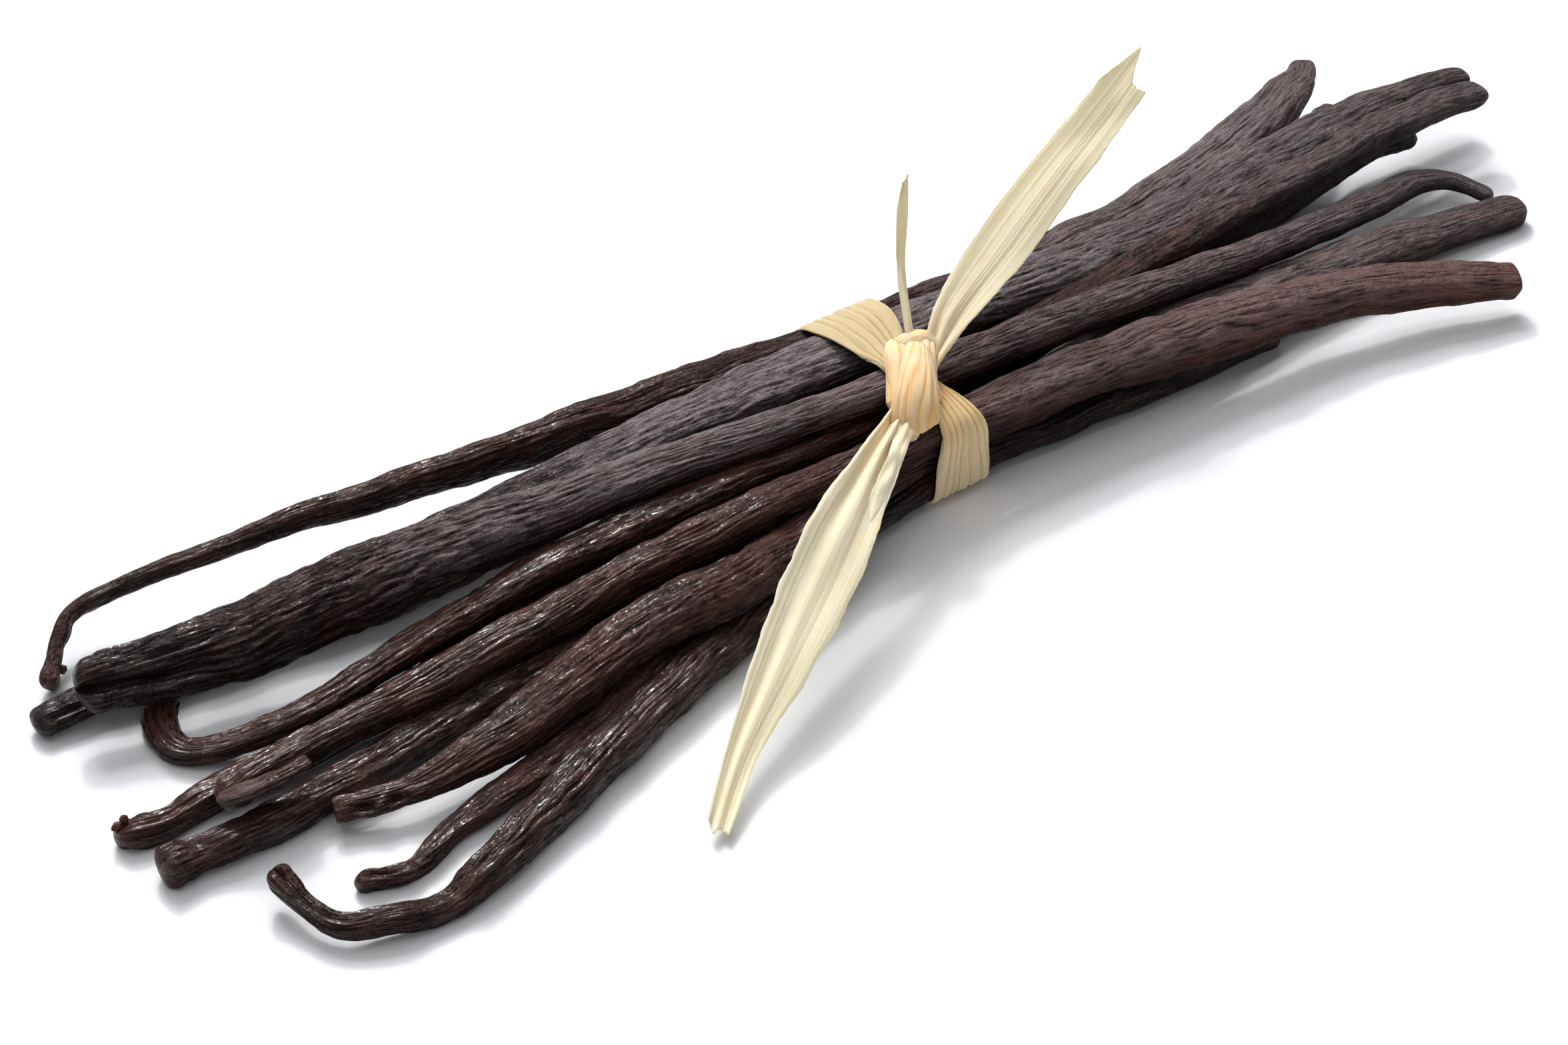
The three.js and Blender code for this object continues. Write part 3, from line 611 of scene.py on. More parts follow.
def relief(seed, s, turn, girth, pod, share_along, looks):
    """The skin's height above its smooth section, in mm, and how deep in a furrow each point is: long
    folds, fine wrinkles and the finest lines, all of them creases that wander together."""
    wander = 0.2 * ring_noise(seed, s / 14, turn, 3) + 0.07 * ring_noise(seed + 1, s / 4, turn, 6)
    cells = max(8, round(girth / pod.pitch))
    folds = creases(seed + 2, s, turn, cells, FOLD_LENGTH, wander)
    fine = creases(seed + 4, s, turn, 2 * cells + 1, WRINKLE_LENGTH, wander)
    cross = ring_noise(seed + 8, s / LINE_LENGTH, turn, cells)
    strength = 0.8 + 0.6 * ring_noise(seed + 7, s / 9, turn, 3)
    depth = spread(pod.folds, share_along) * looks.fold_depth * strength
    small = spread(pod.wrinkles, share_along) * looks.wrinkle_depth
    height = depth * (2.3 * folds - 1) + small * (2.4 * fine - 0.8 + 0.5 * cross)
    furrow = np.clip(1 - 3.4 * folds, 0, 1) + 0.6 * np.clip(0.7 - 3 * fine, 0, 1)
    return height, np.clip(furrow, 0, 1)


def marked(pod, s, length, facing, half):
    """The heights of a pod's bumps and dents: each is its height times exp(-(a/length)^2 - (r/width)^2),
    where a is how far along the pod and r how far round it the point is from the mark's middle."""
    total = np.zeros_like(facing)
    for end, at, degrees, long, wide, height in pod.marks:
        along = s - (length - at if end else at)
        off = facing - np.radians(degrees)
        apart = half * np.arctan2(np.sin(off), np.cos(off))
        total += height * np.exp(-((along / long) ** 2) - (apart / wide) ** 2)
    return total


def end_lumps(seed, s, length, turn, half, heights):
    """The heights of soft lumps about 2 mm wide near each end, as noise that dies out away from it."""
    lumps = ring_noise(seed + 15, (s + LEAD) / END_LUMP_LENGTH + 0 * turn, turn + 0 * s, 5)
    near = heights[0] * np.exp(-((s / END_LUMP_REACH) ** 2))
    near = near + heights[1] * np.exp(-(((length - s) / END_LUMP_REACH) ** 2))
    return near * lumps * np.minimum(1, half / 1.5)


def pits(seed, x, s, turn, girth, pod):
    """The depth of rows of small pits, in mm: round dents where a fine noise is high."""
    spots = ring_noise(seed + 8, s / PIT_PITCH[0], turn, round(girth / PIT_PITCH[1]))
    depth = np.zeros_like(spots)
    for low, high, deepest in pod.pitted:
        inside = np.clip(np.minimum(x - low, high - x) / PIT_FADE, 0, 1)
        depth += deepest * inside * np.clip(2.5 * (spots - 0.25), -0.4, 1)
    return depth


SIDES = (82, 200, 322)  # degrees that the three flat sides of a pod face
CORNER = 8  # the greater, the sharper the corners between a section's sides
CORNER_REACH = 1.2  # the radius of the circle that rounds the corners, in half widths
LINED = (1.0, 1.0, 1.0, 0.7, 0.4)  # strength of a pod's lines of colour, from its -X end to its +X end


def flat_sided(seed, s, facing):
    """The radius of a rounded three-sided section, as a share of the half width. Each side's facing
    and reach wander along the pod, and the radius towards a facing is the power mean
    (corner^-p + sum of (cos(facing - side) / reach)^p)^(-1/p)."""
    total = CORNER_REACH**-CORNER
    for k, side in enumerate(SIDES):
        middle = math.radians(side) + 0.5 * line_noise(seed + 20 + k, s / 26)
        reach = 0.86 + 0.11 * line_noise(seed + 30 + k, s / 12)
        total = total + (np.maximum(np.cos(facing - middle), 0) / reach) ** CORNER
    return total ** (-1 / CORNER)


def turned_frame(pod, way, t):
    """The directions across and out of a pod's broad face at each t, and its turn there, in radians."""
    along = tangents(way, t)
    level = unit(np.cross(UP, along))
    raised = np.cross(along, level)
    roll = np.radians(spread(pod.roll, t))[:, None]
    across = level * np.cos(roll) + raised * np.sin(roll)
    return across, np.cross(along, across), roll


def skin_values(pod, seed, at, facing, whole_turn, share_along):
    """How brown, oily, turned upwards and lined the skin is at each point. Brown and oily skin lies in
    patches. Brown skin is made weaker underneath: painted shade. How far the skin is turned upwards, tilted a
    little towards the back where the lamps are, sets where the material paints lighter dull skin: painted
    light."""
    patches = 0.5 + 0.5 * ring_noise(seed + 10, at / 9, whole_turn, 4)
    # painted shade: this lowers the brown on the skin's lower side
    painted_underside_shade = 0.65 + 0.35 * np.sin(facing)
    return {
        "brown": np.clip(spread(pod.brown, share_along) * (0.6 + 0.8 * patches) * painted_underside_shade, 0, 1),
        "oily": np.clip(spread(pod.oily, share_along) * (0.7 + 0.6 * (1 - patches)), 0, 1),
        # painted light: upper is highest on the sides turned up and a little back, towards the lamps
        "upper": np.clip(0.35 + 0.95 * np.sin(facing + 0.15), 0, 1),
        "lined": spread(LINED, share_along),
    }


def pod_part(pod, way, seed, looks):
    """One closed skin along a way: points, and the values that its material reads."""
    s, share = pod_rings(pod, way, looks.ring_gap / MM)
    to_t, length = measured(way)
    t = to_t(s)
    places = along_way(way, t)
    across, out, roll = turned_frame(pod, way, t)
    widest = max(place[3] for place in way)
    girth = math.pi * widest * (1 + pod.flatness) / 2
    turn = full_turn(int(girth / (looks.column_gap / MM)))
    facing = turn + roll
    s = s[:, None]
    share_along = s / length
    begun = s + LEAD
    swell = 1 + 0.07 * line_noise(seed + 11, begun / 6.5) + 0.04 * line_noise(seed + 12, begun / 2.6)
    half = places[:, 3:] / 2 * swell

    at = begun + 0 * turn
    whole_turn = turn + 0 * at
    height, furrow = relief(seed, at, whole_turn, girth, pod, share_along, looks)
    if pod.pitted:
        height = height - pits(seed, places[:, :1], at, whole_turn, girth, pod)
    cap = np.clip(np.minimum(s, length - s) / SMOOTH_REACH, 0.3, 1)
    slender = np.minimum(1, half / (widest / 2)) ** 0.7
    height = height * slender * cap + marked(pod, s, length, facing, half)
    height = height + end_lumps(seed, s, length, turn, half, pod.lumpy)
    height = height * share[:, None]

    radius = 1 + pod.sided * (flat_sided(seed, at, facing) - 1)
    flare = 1 + FLARE * np.exp(-(((s - FLARE_REACH) / FLARE_REACH) ** 2)) * (pod.ends[0] == "disc")
    a = half * share[:, None] * flare * radius
    normal = unit(np.stack([np.cos(turn) * pod.flatness, np.sin(turn)], -1))
    x = a * np.cos(turn) + height * normal[..., 0]
    z = a * np.sin(turn) * pod.flatness + height * normal[..., 1]
    kink = spread(pod.kinks, share_along) * np.sqrt(np.minimum(1, half / 1.5))
    sideways = kink * line_noise(seed + 13, begun / 8)
    upwards = kink * line_noise(seed + 14, begun / 8)
    middle = places[:, :3] + across * sideways + out * upwards
    grid = middle[:, None] + across[:, None] * x[..., None] + out[:, None] * z[..., None]
    grid[..., 2] = np.maximum(grid[..., 2], FLOOR_GAP)

    values = {"straight": np.stack([at, x, z], -1), "furrow": furrow}
    values.update(skin_values(pod, seed, at, facing, whole_turn, share_along))
    return tube_part(grid, values)


LUMP_GRID = (14, 20)  # rings and columns
# Where a folded end differs from its pod.
FLAP = {"ends": ("cut", "round"), "flatness": 0.6, "roll": (42, 50)}
POD_SEED = 100  # the first pod's seed, and from each pod's seed to the next one's
FLAP_SEED, LUMP_SEED = 50, 60  # added to a pod's seed


def lump_part(lump, seed):
    """A small closed lump: a sphere with a bumpy radius."""
    x, y, z, length, width, brown = lump
    rings, columns = LUMP_GRID
    tilt = np.linspace(0, np.pi, rings + 2)[1:-1, None]
    turn = full_turn(columns) + 0 * tilt
    radius = 1 + 0.3 * ring_noise(seed, tilt * 2 + 0 * turn, turn, 6)
    ball = np.stack([np.cos(tilt) + 0 * turn, np.sin(tilt) * np.cos(turn), np.sin(tilt) * np.sin(turn)], -1)
    sizes = np.array([-length, width, width]) / 2
    grid = np.array([x, y, z]) + ball * radius[..., None] * sizes
    # upper 1 gives a lump the painted sheen of the bloom all over
    values = {"straight": grid, "furrow": 0, "brown": brown, "oily": 0.5, "upper": 1, "lined": 1}
    return tube_part(grid, values)


def build_pod(name, pod, seed, looks, material):
    """A pod's piece: its skin, its lumps and its folded end, in the place of its CAD node."""
    parts = [pod_part(pod, pod.way, seed, looks)]
    if pod.flap:
        flap = replace(pod, marks=pod.flap_marks, **FLAP)
        parts.append(pod_part(flap, pod.flap, seed + FLAP_SEED, looks))
    parts += [lump_part(lump, seed + LUMP_SEED + k) for k, lump in enumerate(pod.lumps)]
    piece = new_piece(name + "_skin", *join_parts(parts))
    piece.data.materials.append(material)
    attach(piece, "root")
    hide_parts(name)


# ---- Raffia ----

RIB_WIDTH = 0.035  # half the width of a rib, as a share of half the leaf
BAND_GRID = (300, 110)  # rows round the pods and columns across the band
BAND_SLICE = (2.0, 4.5)  # X of the middle of the pods' tied stretch, and half its length
BAND_GAP = 0.2  # mm between the pods and the band's middle surface
BAND_LOWEST = 0.15  # the height of the band's lowest points, mm
BAND_SEED = 71
GATHERED = (55, 34)  # degrees over which the band spreads out after the knot and is gathered before it
FACING_STEP = 3  # degrees from one facing of the band's outline to the next
STEEPEST = 0.2  # the smallest cosine between a place on the outline and a plane that may bound it
OUTLINE_MEAN = 4  # rows to either side that the outline's running mean takes in
RAGGED_FROM = 0.72  # where a leaf's ragged end begins, as a share of its length
STRAND_SEED, STRAND_SEED_STEP = 500, 10  # the first strand's seed, and from each seed to the next
STRAND_GRID = (90, 120)  # rings and columns of a strand of the knot
STRAND_FACING = (-0.3, -0.5, 0.8)
BAND_PAINTED_SHADE = (1.2, 0.2)  # how much painted shade darkens the band over the top of the pods, and underneath
PAINTED_SHADE_FADE = (-0.6, 1.6)  # the fade between them, from below 0 at the band's start to above 1 at its end
TAIL_START = 4.5  # by its end, the painted shade at a tail's start, by the knot, has faded to e to the minus this


def leaf(name, sheet, thickness, warm, tan, material):
    """A thin leaf from a grid of points: the grid moved half the thickness to either side along its
    normals, and joined round its rim. Its attribute grain is in mm along and across the leaf."""
    rows, columns = sheet.shape[:2]
    normal = unit(np.cross(np.gradient(sheet, axis=0), np.gradient(sheet, axis=1)))
    top = sheet + normal * thickness / 2
    bottom = sheet - normal * thickness / 2
    points = np.concatenate([top.reshape(-1, 3), bottom.reshape(-1, 3)])
    count = rows * columns
    index = np.arange(count).reshape(rows, columns)
    corners = (index[:-1, :-1], index[1:, :-1], index[1:, 1:], index[:-1, 1:])
    upper = np.stack(corners, -1).reshape(-1, 4)
    lower = np.stack(corners[::-1], -1).reshape(-1, 4) + count
    loop = np.concatenate([index[0, :], index[1:, -1], index[-1, -2::-1], index[-2:0:-1, 0]])
    after = np.roll(loop, -1)
    quads = np.concatenate([upper, lower, np.stack([loop, after, after + count, loop + count], -1)])
    lengths = np.cumsum(np.linalg.norm(np.diff(sheet, axis=0, prepend=sheet[:1]), axis=2), axis=0)
    widths = np.cumsum(np.linalg.norm(np.diff(sheet, axis=1, prepend=sheet[:, :1]), axis=2), axis=1)
    grain = np.stack([lengths.mean(axis=1)[:, None] + 0 * widths, widths, 0 * widths], -1).reshape(-1, 3)
    values = {"grain": np.tile(grain, (2, 1))}
    for key, shares in (("warm", warm), ("tan", tan)):
        values[key] = np.tile((shares + np.zeros((rows, columns))).reshape(-1), 2)
    piece = new_piece(name, points, quads, np.empty((0, 3), int), values)
    piece.data.materials.append(material)
    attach(piece, "root")
    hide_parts("raffia_tie")


def ribs(across, seed, count, height):
    """Long thin ribs at random places across a leaf: each a narrow bell-shaped ridge."""
    draw = np.random.default_rng(seed)
    total = np.zeros_like(across)
    for place, tall in zip(draw.uniform(-0.95, 0.95, count), draw.uniform(0.4, 1, count)):
        total += tall * height * np.exp(-(((across - place) / RIB_WIDTH) ** 2))
    return total


def smooth_table(x, rows):
    """Values between a table's rows by straight lines, then rounded by a running mean."""
    table = np.asarray(rows, float)
    straight = np.interp(x, table[:, 0], table[:, 1])
    wide = max(3, len(x) // 14)
    padded = np.pad(straight, wide, mode="edge")
    kernel = np.hanning(2 * wide + 1)
    return np.convolve(padded, kernel / kernel.sum(), mode="valid")


def strip_sheet(way, facing, rows, columns, seed, pleats, end):
    """A leaf's middle surface along a way. Across it runs c from -1 to 1. Pleats are waves across it,
    [how many, height at the start, height at the end]; end lists [c, mm added to the end]."""
    t = np.linspace(0, 1, rows)
    c = np.linspace(-1, 1, columns)[None, :] * np.ones((rows, 1))
    places = along_way(way, t)
    along = tangents(way, t)
    across = unit(np.cross(np.asarray(facing, float), along))
    out = np.cross(along, across)
    rough = noise(seed, t[:, None] * 17 + 0 * c, (c + 1.5) * 1.2, 8)
    rough = rough + 0.5 * noise(seed + 5, t[:, None] * 61 + 0 * c, (c + 1.5) * 1.2, 8)
    edge = 1 + 0.045 * rough * np.abs(c) ** 6
    waves, high, low = pleats
    height = high + (low - high) * fade(np.clip(t * 1.6, 0, 1))
    drift = 1.2 * noise(seed + 1, t[:, None] * 4 + 0 * c, c + 2, 5)
    lift = height[:, None] * np.cos(np.pi * waves * c + drift)
    lift = lift + ribs(c, seed + 2, 14, 0.05)
    lift = lift + 0.35 * noise(seed + 3, t[:, None] * 5 + 0 * c, (c + 2) * 0.8, 6)
    sheet = places[:, None, :3] + across[:, None] * (c * edge * places[:, 3:] / 2)[..., None]
    sheet = sheet + out[:, None] * lift[..., None]
    if end:
        table = np.asarray(end, float)
        reach = np.interp(c, table[:, 0], table[:, 1]) + 0.2 * noise(seed + 4, c * 0 + 1.5, (c + 1.5) * 8, 40)
        grown = fade(np.clip((t - RAGGED_FROM) / (1 - RAGGED_FROM), 0, 1))[:, None]
        sheet = sheet + along[:, None] * (reach * grown)[..., None]
    return sheet


def band_outline(angles, gap):
    """The outline [y, z] of a strip pulled tight round the pods at each angle: for every facing, a
    plane touches the outermost point of the pods, and the outline is the nearest of these planes."""
    clouds = []
    for name in PODS:
        piece = bpy.data.objects.get(name + "_skin")
        if piece is None:
            raise RuntimeError("the band lies round the pods, so build the pods first")
        co = np.empty(len(piece.data.vertices) * 3, np.float32)
        piece.data.vertices.foreach_get("co", co)
        points = co.reshape(-1, 3) / MM - TIE
        clouds.append(points[np.abs(points[:, 0] - BAND_SLICE[0]) < BAND_SLICE[1]][:, 1:])
    cloud = np.concatenate(clouds) - TIE_MIDDLE
    facings = np.radians(np.arange(0, 360, FACING_STEP))
    normals = np.stack([np.cos(facings), np.sin(facings)])
    off = (cloud @ normals).max(axis=0) + gap
    slant = np.cos(angles[:, None] - facings[None, :])
    radius = np.where(slant > STEEPEST, off / np.maximum(slant, STEEPEST), np.inf).min(axis=1)
    padded = np.pad(radius, OUTLINE_MEAN, mode="edge")
    rows = 2 * OUTLINE_MEAN + 1
    return np.convolve(padded, np.ones(rows) / rows, mode="valid")


def band_sheet(rows, columns):
    """The band's middle surface: round the tied section from the knot, over the back and underneath
    to the knot again, pleated where it is gathered, and spread between its two edges elsewhere."""
    degrees = np.linspace(0, 360, rows)
    angles = np.radians(KNOT_ANGLE - degrees)
    radius = band_outline(angles, BAND_GAP)
    c = np.linspace(0, 1, columns)[None, :] * np.ones((rows, 1))
    near = smooth_table(degrees, BAND_NEAR_EDGE)[:, None]
    far = smooth_table(degrees, BAND_FAR_EDGE)[:, None]
    x = near + (far - near) * c
    gathered = np.exp(-(np.minimum(degrees / GATHERED[0], (360 - degrees) / GATHERED[1]) ** 2))[:, None]
    drift = 0.5 * noise(BAND_SEED, degrees[:, None] / 60 + 0 * c, c * 3, 5)
    wave = 1.6 * np.sqrt(np.abs(np.sin(np.pi * (6.2 * c + drift)))) - 1
    lift = gathered * (0.35 + 0.28 * wave) + 0.2 * (1 - gathered) * wave
    lift = lift + ribs(2 * c - 1, BAND_SEED + 1, 16, 0.07)
    lift = lift + 0.12 * noise(BAND_SEED + 2, degrees[:, None] / 25 + 0 * c, c * 4, 6)
    lift = np.maximum(lift, -0.1)
    reach = radius[:, None] + lift
    y = TIE_MIDDLE[0] + reach * np.cos(angles)[:, None]
    z = TIE_MIDDLE[1] + reach * np.sin(angles)[:, None]
    return np.stack([x, y, np.maximum(z, BAND_LOWEST)], -1), gathered * np.ones_like(c)


def strand_part(way, flatness, pleats, seed):
    """A gathered strand of the knot: a closed tube whose section has round pleats and sharp valleys, the
    square root of |sin| of half the number of pleats times the turn, which drifts along the way."""
    rings, columns = STRAND_GRID
    t = np.linspace(0, 1, rings)
    places = along_way(way, t)
    along = tangents(way, t)
    level = unit(np.cross(np.array(STRAND_FACING), along))
    out = np.cross(along, level)
    turn = full_turn(columns) * np.ones((rings, 1))
    at = t[:, None] * 3 * np.ones_like(turn)
    drift = 0.6 * ring_noise(seed, at * 0.6, turn, 5)
    pleat = np.abs(np.sin(pleats * (turn + drift) / 2))
    small = ring_noise(seed + 1, at * 2, turn, 3 * pleats)
    closing = np.sin(np.clip(np.minimum(t, 1 - t) * 9, 0, 1) * np.pi / 2)[:, None]
    half = places[:, 3:] / 2
    lines = np.abs(ring_noise(seed + 2, at * 0.7, turn, 5 * pleats))
    radius = half * closing * (0.86 + 0.13 * np.sqrt(pleat) + 0.1 * lines + 0.015 * small)
    x = radius * np.cos(turn)
    z = radius * np.sin(turn) * flatness
    grid = places[:, None, :3] + level[:, None] * x[..., None] + out[:, None] * z[..., None]
    _, length = measured(way)
    grain = np.stack([t[:, None] * length + 0 * x, turn * half * 0.8, 0 * x], -1)
    # painted shade: warmer in the pleats' valleys than on their crests
    warm = np.clip(0.75 + 0.3 * (1 - pleat) - 0.25 * pleat, 0, 1)
    return tube_part(grid, {"grain": grain, "warm": warm, "tan": 0}, pointed=True)


# ---- Materials ----


class Socket:
    """One output of a node, with the operators that the materials use."""

    def __init__(self, shader, output):
        self.shader = shader
        self.output = output

    def math(self, operation, first, second):
        return self.shader.node("ShaderNodeMath", {"operation": operation}, {0: first, 1: second})

    def __add__(self, other):
        return self.math("ADD", self, other)

    def __radd__(self, other):
        return self.math("ADD", other, self)

    def __sub__(self, other):
        return self.math("SUBTRACT", self, other)

    def __rsub__(self, other):
        return self.math("SUBTRACT", other, self)

    def __mul__(self, other):
        return self.math("MULTIPLY", self, other)

    def __rmul__(self, other):
        return self.math("MULTIPLY", other, self)

    def size(self):
        """The value without its sign."""
        return self.shader.node("ShaderNodeMath", {"operation": "ABSOLUTE"}, {0: self})

    def clamped(self):
        return self.shader.node("ShaderNodeClamp", {}, {"Value": self})


class Shader:
    """A material's node tree, with one method that adds any node."""

    def __init__(self, name):
        self.material = bpy.data.materials.new(name)
        self.material.use_nodes = True
        self.tree = self.material.node_tree
        self.tree.nodes.clear()

    def node(self, kind, settings, inputs, output=0):
        """A node of a kind, with its settings made first and then its inputs set or linked."""
        made = self.tree.nodes.new(kind)
        for key, value in settings.items():
            if key == "stops":
                self.set_stops(made.color_ramp, value)
            else:
                setattr(made, key, value)
        for key, value in inputs.items():
            if isinstance(value, Socket):
                self.tree.links.new(value.output, made.inputs[key])
            else:
                made.inputs[key].default_value = value
        return Socket(self, made.outputs[output]) if made.outputs else None

    @staticmethod
    def set_stops(ramp, stops):
        while len(ramp.elements) < len(stops):
            ramp.elements.new(1.0)
        for element, (position, grey) in zip(ramp.elements, stops):
            element.position = position
            element.color = (grey, grey, grey, 1)

    def attribute(self, name, output="Fac"):
        return self.node("ShaderNodeAttribute", {"attribute_name": name}, {}, output)

    def stretched(self, vector, scale):
        return self.node("ShaderNodeVectorMath", {"operation": "MULTIPLY"}, {0: vector, 1: scale})

    def noise(self, vector, scale, detail, rough=0.5):
        inputs = {"Vector": vector, "Scale": scale, "Detail": detail, "Roughness": rough}
        return self.node("ShaderNodeTexNoise", {}, inputs)

    def ramp(self, value, stops):
        return self.node("ShaderNodeValToRGB", {"stops": stops}, {"Fac": value})

    def mix(self, share, first, second, blend="MIX"):
        settings = {"data_type": "RGBA", "blend_type": blend}
        return self.node("ShaderNodeMix", settings, {0: share, 6: first, 7: second}, 2)

    def bump(self, height, strength, distance, normal=None):
        inputs = {"Height": height, "Strength": strength, "Distance": distance}
        if normal:
            inputs["Normal"] = normal
        return self.node("ShaderNodeBump", {}, inputs)

    def finish(self, inputs):
        surface = self.node("ShaderNodeBsdfPrincipled", {}, inputs)
        self.node("ShaderNodeOutputMaterial", {}, {"Surface": surface})
        return self.material


def opaque(colour):
    """A colour with full alpha."""
    return (*colour, 1.0)


FURROW_SHADE = (0.003, 0.002, 0.002)  # painted shade: the colour that darkens the bottom of a furrow


def pod_skin(name, looks):
    """Cured skin: black to reddish brown by the pod's own values, with the brown weaker underneath as painted
    shade. A greyish bloom lies on dry upper sides; as it is mixed in only on the sides turned to the lamps,
    it is also painted sheen. Painted shade darkens the furrows. The skin has fine long creases and pores, and
    a spotty coat where it is oily."""
    shader = Shader(name)
    straight = shader.attribute("straight", "Vector")
    furrow = shader.attribute("furrow")
    brown = shader.attribute("brown")
    oily = shader.attribute("oily")
    upper = shader.attribute("upper")
    lines = shader.attribute("lined")
    streaks = shader.noise(shader.stretched(straight, (0.3, 2.3, 2.3)), 1.3, 5.0, 0.62)
    blotches = shader.noise(shader.stretched(straight, (0.3, 0.6, 0.6)), 0.9, 3.0)
    pores = shader.noise(shader.stretched(straight, (1.0, 1.6, 1.6)), 3.2, 2.0)
    beads = shader.noise(shader.stretched(straight, (1.0, 1.0, 1.0)), 1.7, 1.0)
    creased = (streaks - 0.5).size() * 2
    redness = (brown * 1.2 + (streaks - 0.5) * lines * 1.8 + (blotches - 0.5) * 1.1 - 0.1).clamped()
    colour = shader.mix(redness, opaque(looks.black), opaque(looks.brown))
    speckled = ((pores - 0.5) * 1.2 + (streaks - 0.5) * 3.0) * lines
    dull = ((0.4 - oily) * 1.8 + speckled) * (1.02 - oily) * 1.14
    # painted light: the bloom is mixed in only on the upper sides, so it also paints the lamps' sheen there
    colour = shader.mix(dull.clamped() * upper * (0.95 - brown * 0.45), colour, opaque(looks.bloom_and_sheen))
    # painted shade: the furrows are darkened towards near black
    colour = shader.mix((furrow * 0.95).clamped(), colour, opaque(FURROW_SHADE))
    rough = (0.6 - oily * 0.42 + (blotches - 0.5) * 0.2 + (pores - 0.5) * 0.2 + furrow * 0.2).clamped()
    coat = oily * 0.85 - 0.3 + (pores - 0.5) * 2.2 + (streaks - 0.5) * 1.4 - furrow * 0.9
    ridged = shader.bump(creased, 1.0, 0.2 * MM)
    beaded = shader.bump(beads, 1.0, 0.3 * MM, ridged)
    return shader.finish(
        {
            "Base Color": colour,
            "Roughness": rough,
            "Coat Weight": coat.clamped(),
            "Coat Roughness": 0.08,
            "Coat IOR": 1.4,
            "Specular IOR Level": 0.18,
            "Specular Tint": opaque((1, 0.8, 0.76)),
            "Normal": shader.bump(pores, 0.7, 0.08 * MM, beaded),
        }
    )


def raffia_leaf(name, looks):
    """Dry leaf: pale straw, warmer where it is gathered, finely streaked along its length. Painted shade
    makes it warmer in pleat valleys, on the band's underside and at the tails' starts, and darker on the
    band's top.
    """
    shader = Shader(name)
    grain = shader.attribute("grain", "Vector")
    warm = shader.attribute("warm")
    tan = shader.attribute("tan")
    fibres = shader.noise(shader.stretched(grain, (0.25, 6.0, 1.0)), 1.3, 4.0, 0.65)
    mottle = shader.noise(shader.stretched(grain, (0.8, 1.2, 1.0)), 0.7, 3.0)
    speck = shader.noise(shader.stretched(grain, (1.0, 1.0, 1.0)), 5.0, 2.0)
    share = (warm * 0.9 + (fibres - 0.5) * 0.5 + (mottle - 0.5) * 0.45).clamped()
    colour = shader.mix(share, opaque(looks.pale), opaque(looks.warm))
    # painted shade: the darker colour on the band's top and at the tails' starts
    colour = shader.mix(tan * 0.75, colour, opaque(looks.tan))
    light = shader.ramp(fibres, ((0.3, 0.82), (0.7, 1.0)))
    colour = shader.mix(0.7, colour, light, "MULTIPLY")
    height = fibres * 0.8 + speck * 0.3
    return shader.finish(
        {
            "Base Color": colour,
            "Roughness": (0.62 + (mottle - 0.5) * 0.25).clamped(),
            "Specular IOR Level": 0.3,
            "Subsurface Weight": 0.85,
            "Subsurface Radius": (1.0, 0.85, 0.6),
            "Subsurface Scale": 0.42 * MM,
            "Normal": shader.bump(height, 0.5, 0.12 * MM),
        }
    )


def plain_floor(name, colour):
    """Smooth pale board."""
    return Shader(name).finish({"Base Color": opaque(colour), "Roughness": 0.9, "Specular IOR Level": 0.1})


# ---- Operators ----


class VANILLA_OT_pods(bpy.types.Operator):
    """Build the ten pods"""

    bl_idname = "vanilla.pods"
    bl_label = "Build the pods"

    def execute(self, context):
        looks = context.scene.vanilla_pods
        skins = {slot: pod_skin(slot + "_skin", looks) for slot in ("pod_black", "pod_brown")}
        for order, (name, pod) in enumerate(PODS.items()):
            build_pod(name, pod, POD_SEED * (order + 1), looks, skins[pod.slot])
        return {"FINISHED"}


class VANILLA_OT_band(bpy.types.Operator):
    """Build the raffia band round the pods"""

    bl_idname = "vanilla.band"
    bl_label = "Build the band"

    def execute(self, context):
        looks = context.scene.vanilla_raffia
        sheet, gathered = band_sheet(*BAND_GRID)
        # painted shade: the band is darkened on top, over the pods, and made warmer underneath
        under = fade(np.clip(np.linspace(*PAINTED_SHADE_FADE, len(sheet)), 0, 1))[:, None]
        tan = BAND_PAINTED_SHADE[0] + (BAND_PAINTED_SHADE[1] - BAND_PAINTED_SHADE[0]) * under
        warm = 0.3 + 0.45 * gathered + 0.2 * (BAND_PAINTED_SHADE[0] - tan)
        leaf("raffia_band", sheet, looks.thickness / MM, warm, tan, raffia_material(looks))
        return {"FINISHED"}


class VANILLA_OT_knot(bpy.types.Operator):
    """Build the knot's gathered strands"""

    bl_idname = "vanilla.knot"
    bl_label = "Build the knot"

    def execute(self, context):
        looks = context.scene.vanilla_raffia
        parts = []
        for order, (way, flatness, pleats) in enumerate(KNOT_STRANDS):
            parts.append(strand_part(way, flatness, pleats, STRAND_SEED + STRAND_SEED_STEP * order))
        piece = new_piece("raffia_knot", *join_parts(parts))
        piece.data.materials.append(raffia_material(looks))
        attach(piece, "root")
        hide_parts("raffia_tie")
        return {"FINISHED"}


class VANILLA_OT_tails(bpy.types.Operator):
    """Build the raffia's two tails and its torn shred"""

    bl_idname = "vanilla.tails"
    bl_label = "Build the tails"

    def execute(self, context):
        looks = context.scene.vanilla_raffia
        material = raffia_material(looks)
        for name, described in LEAVES.items():
            sheet = strip_sheet(*described)
            # painted shade: a tail is warmer and darker at its start, by the knot
            start = np.exp(-np.linspace(0, TAIL_START, len(sheet)))[:, None]
            leaf(name, sheet, looks.thickness / MM, 0.7 * start, 0.5 * start, material)
        return {"FINISHED"}


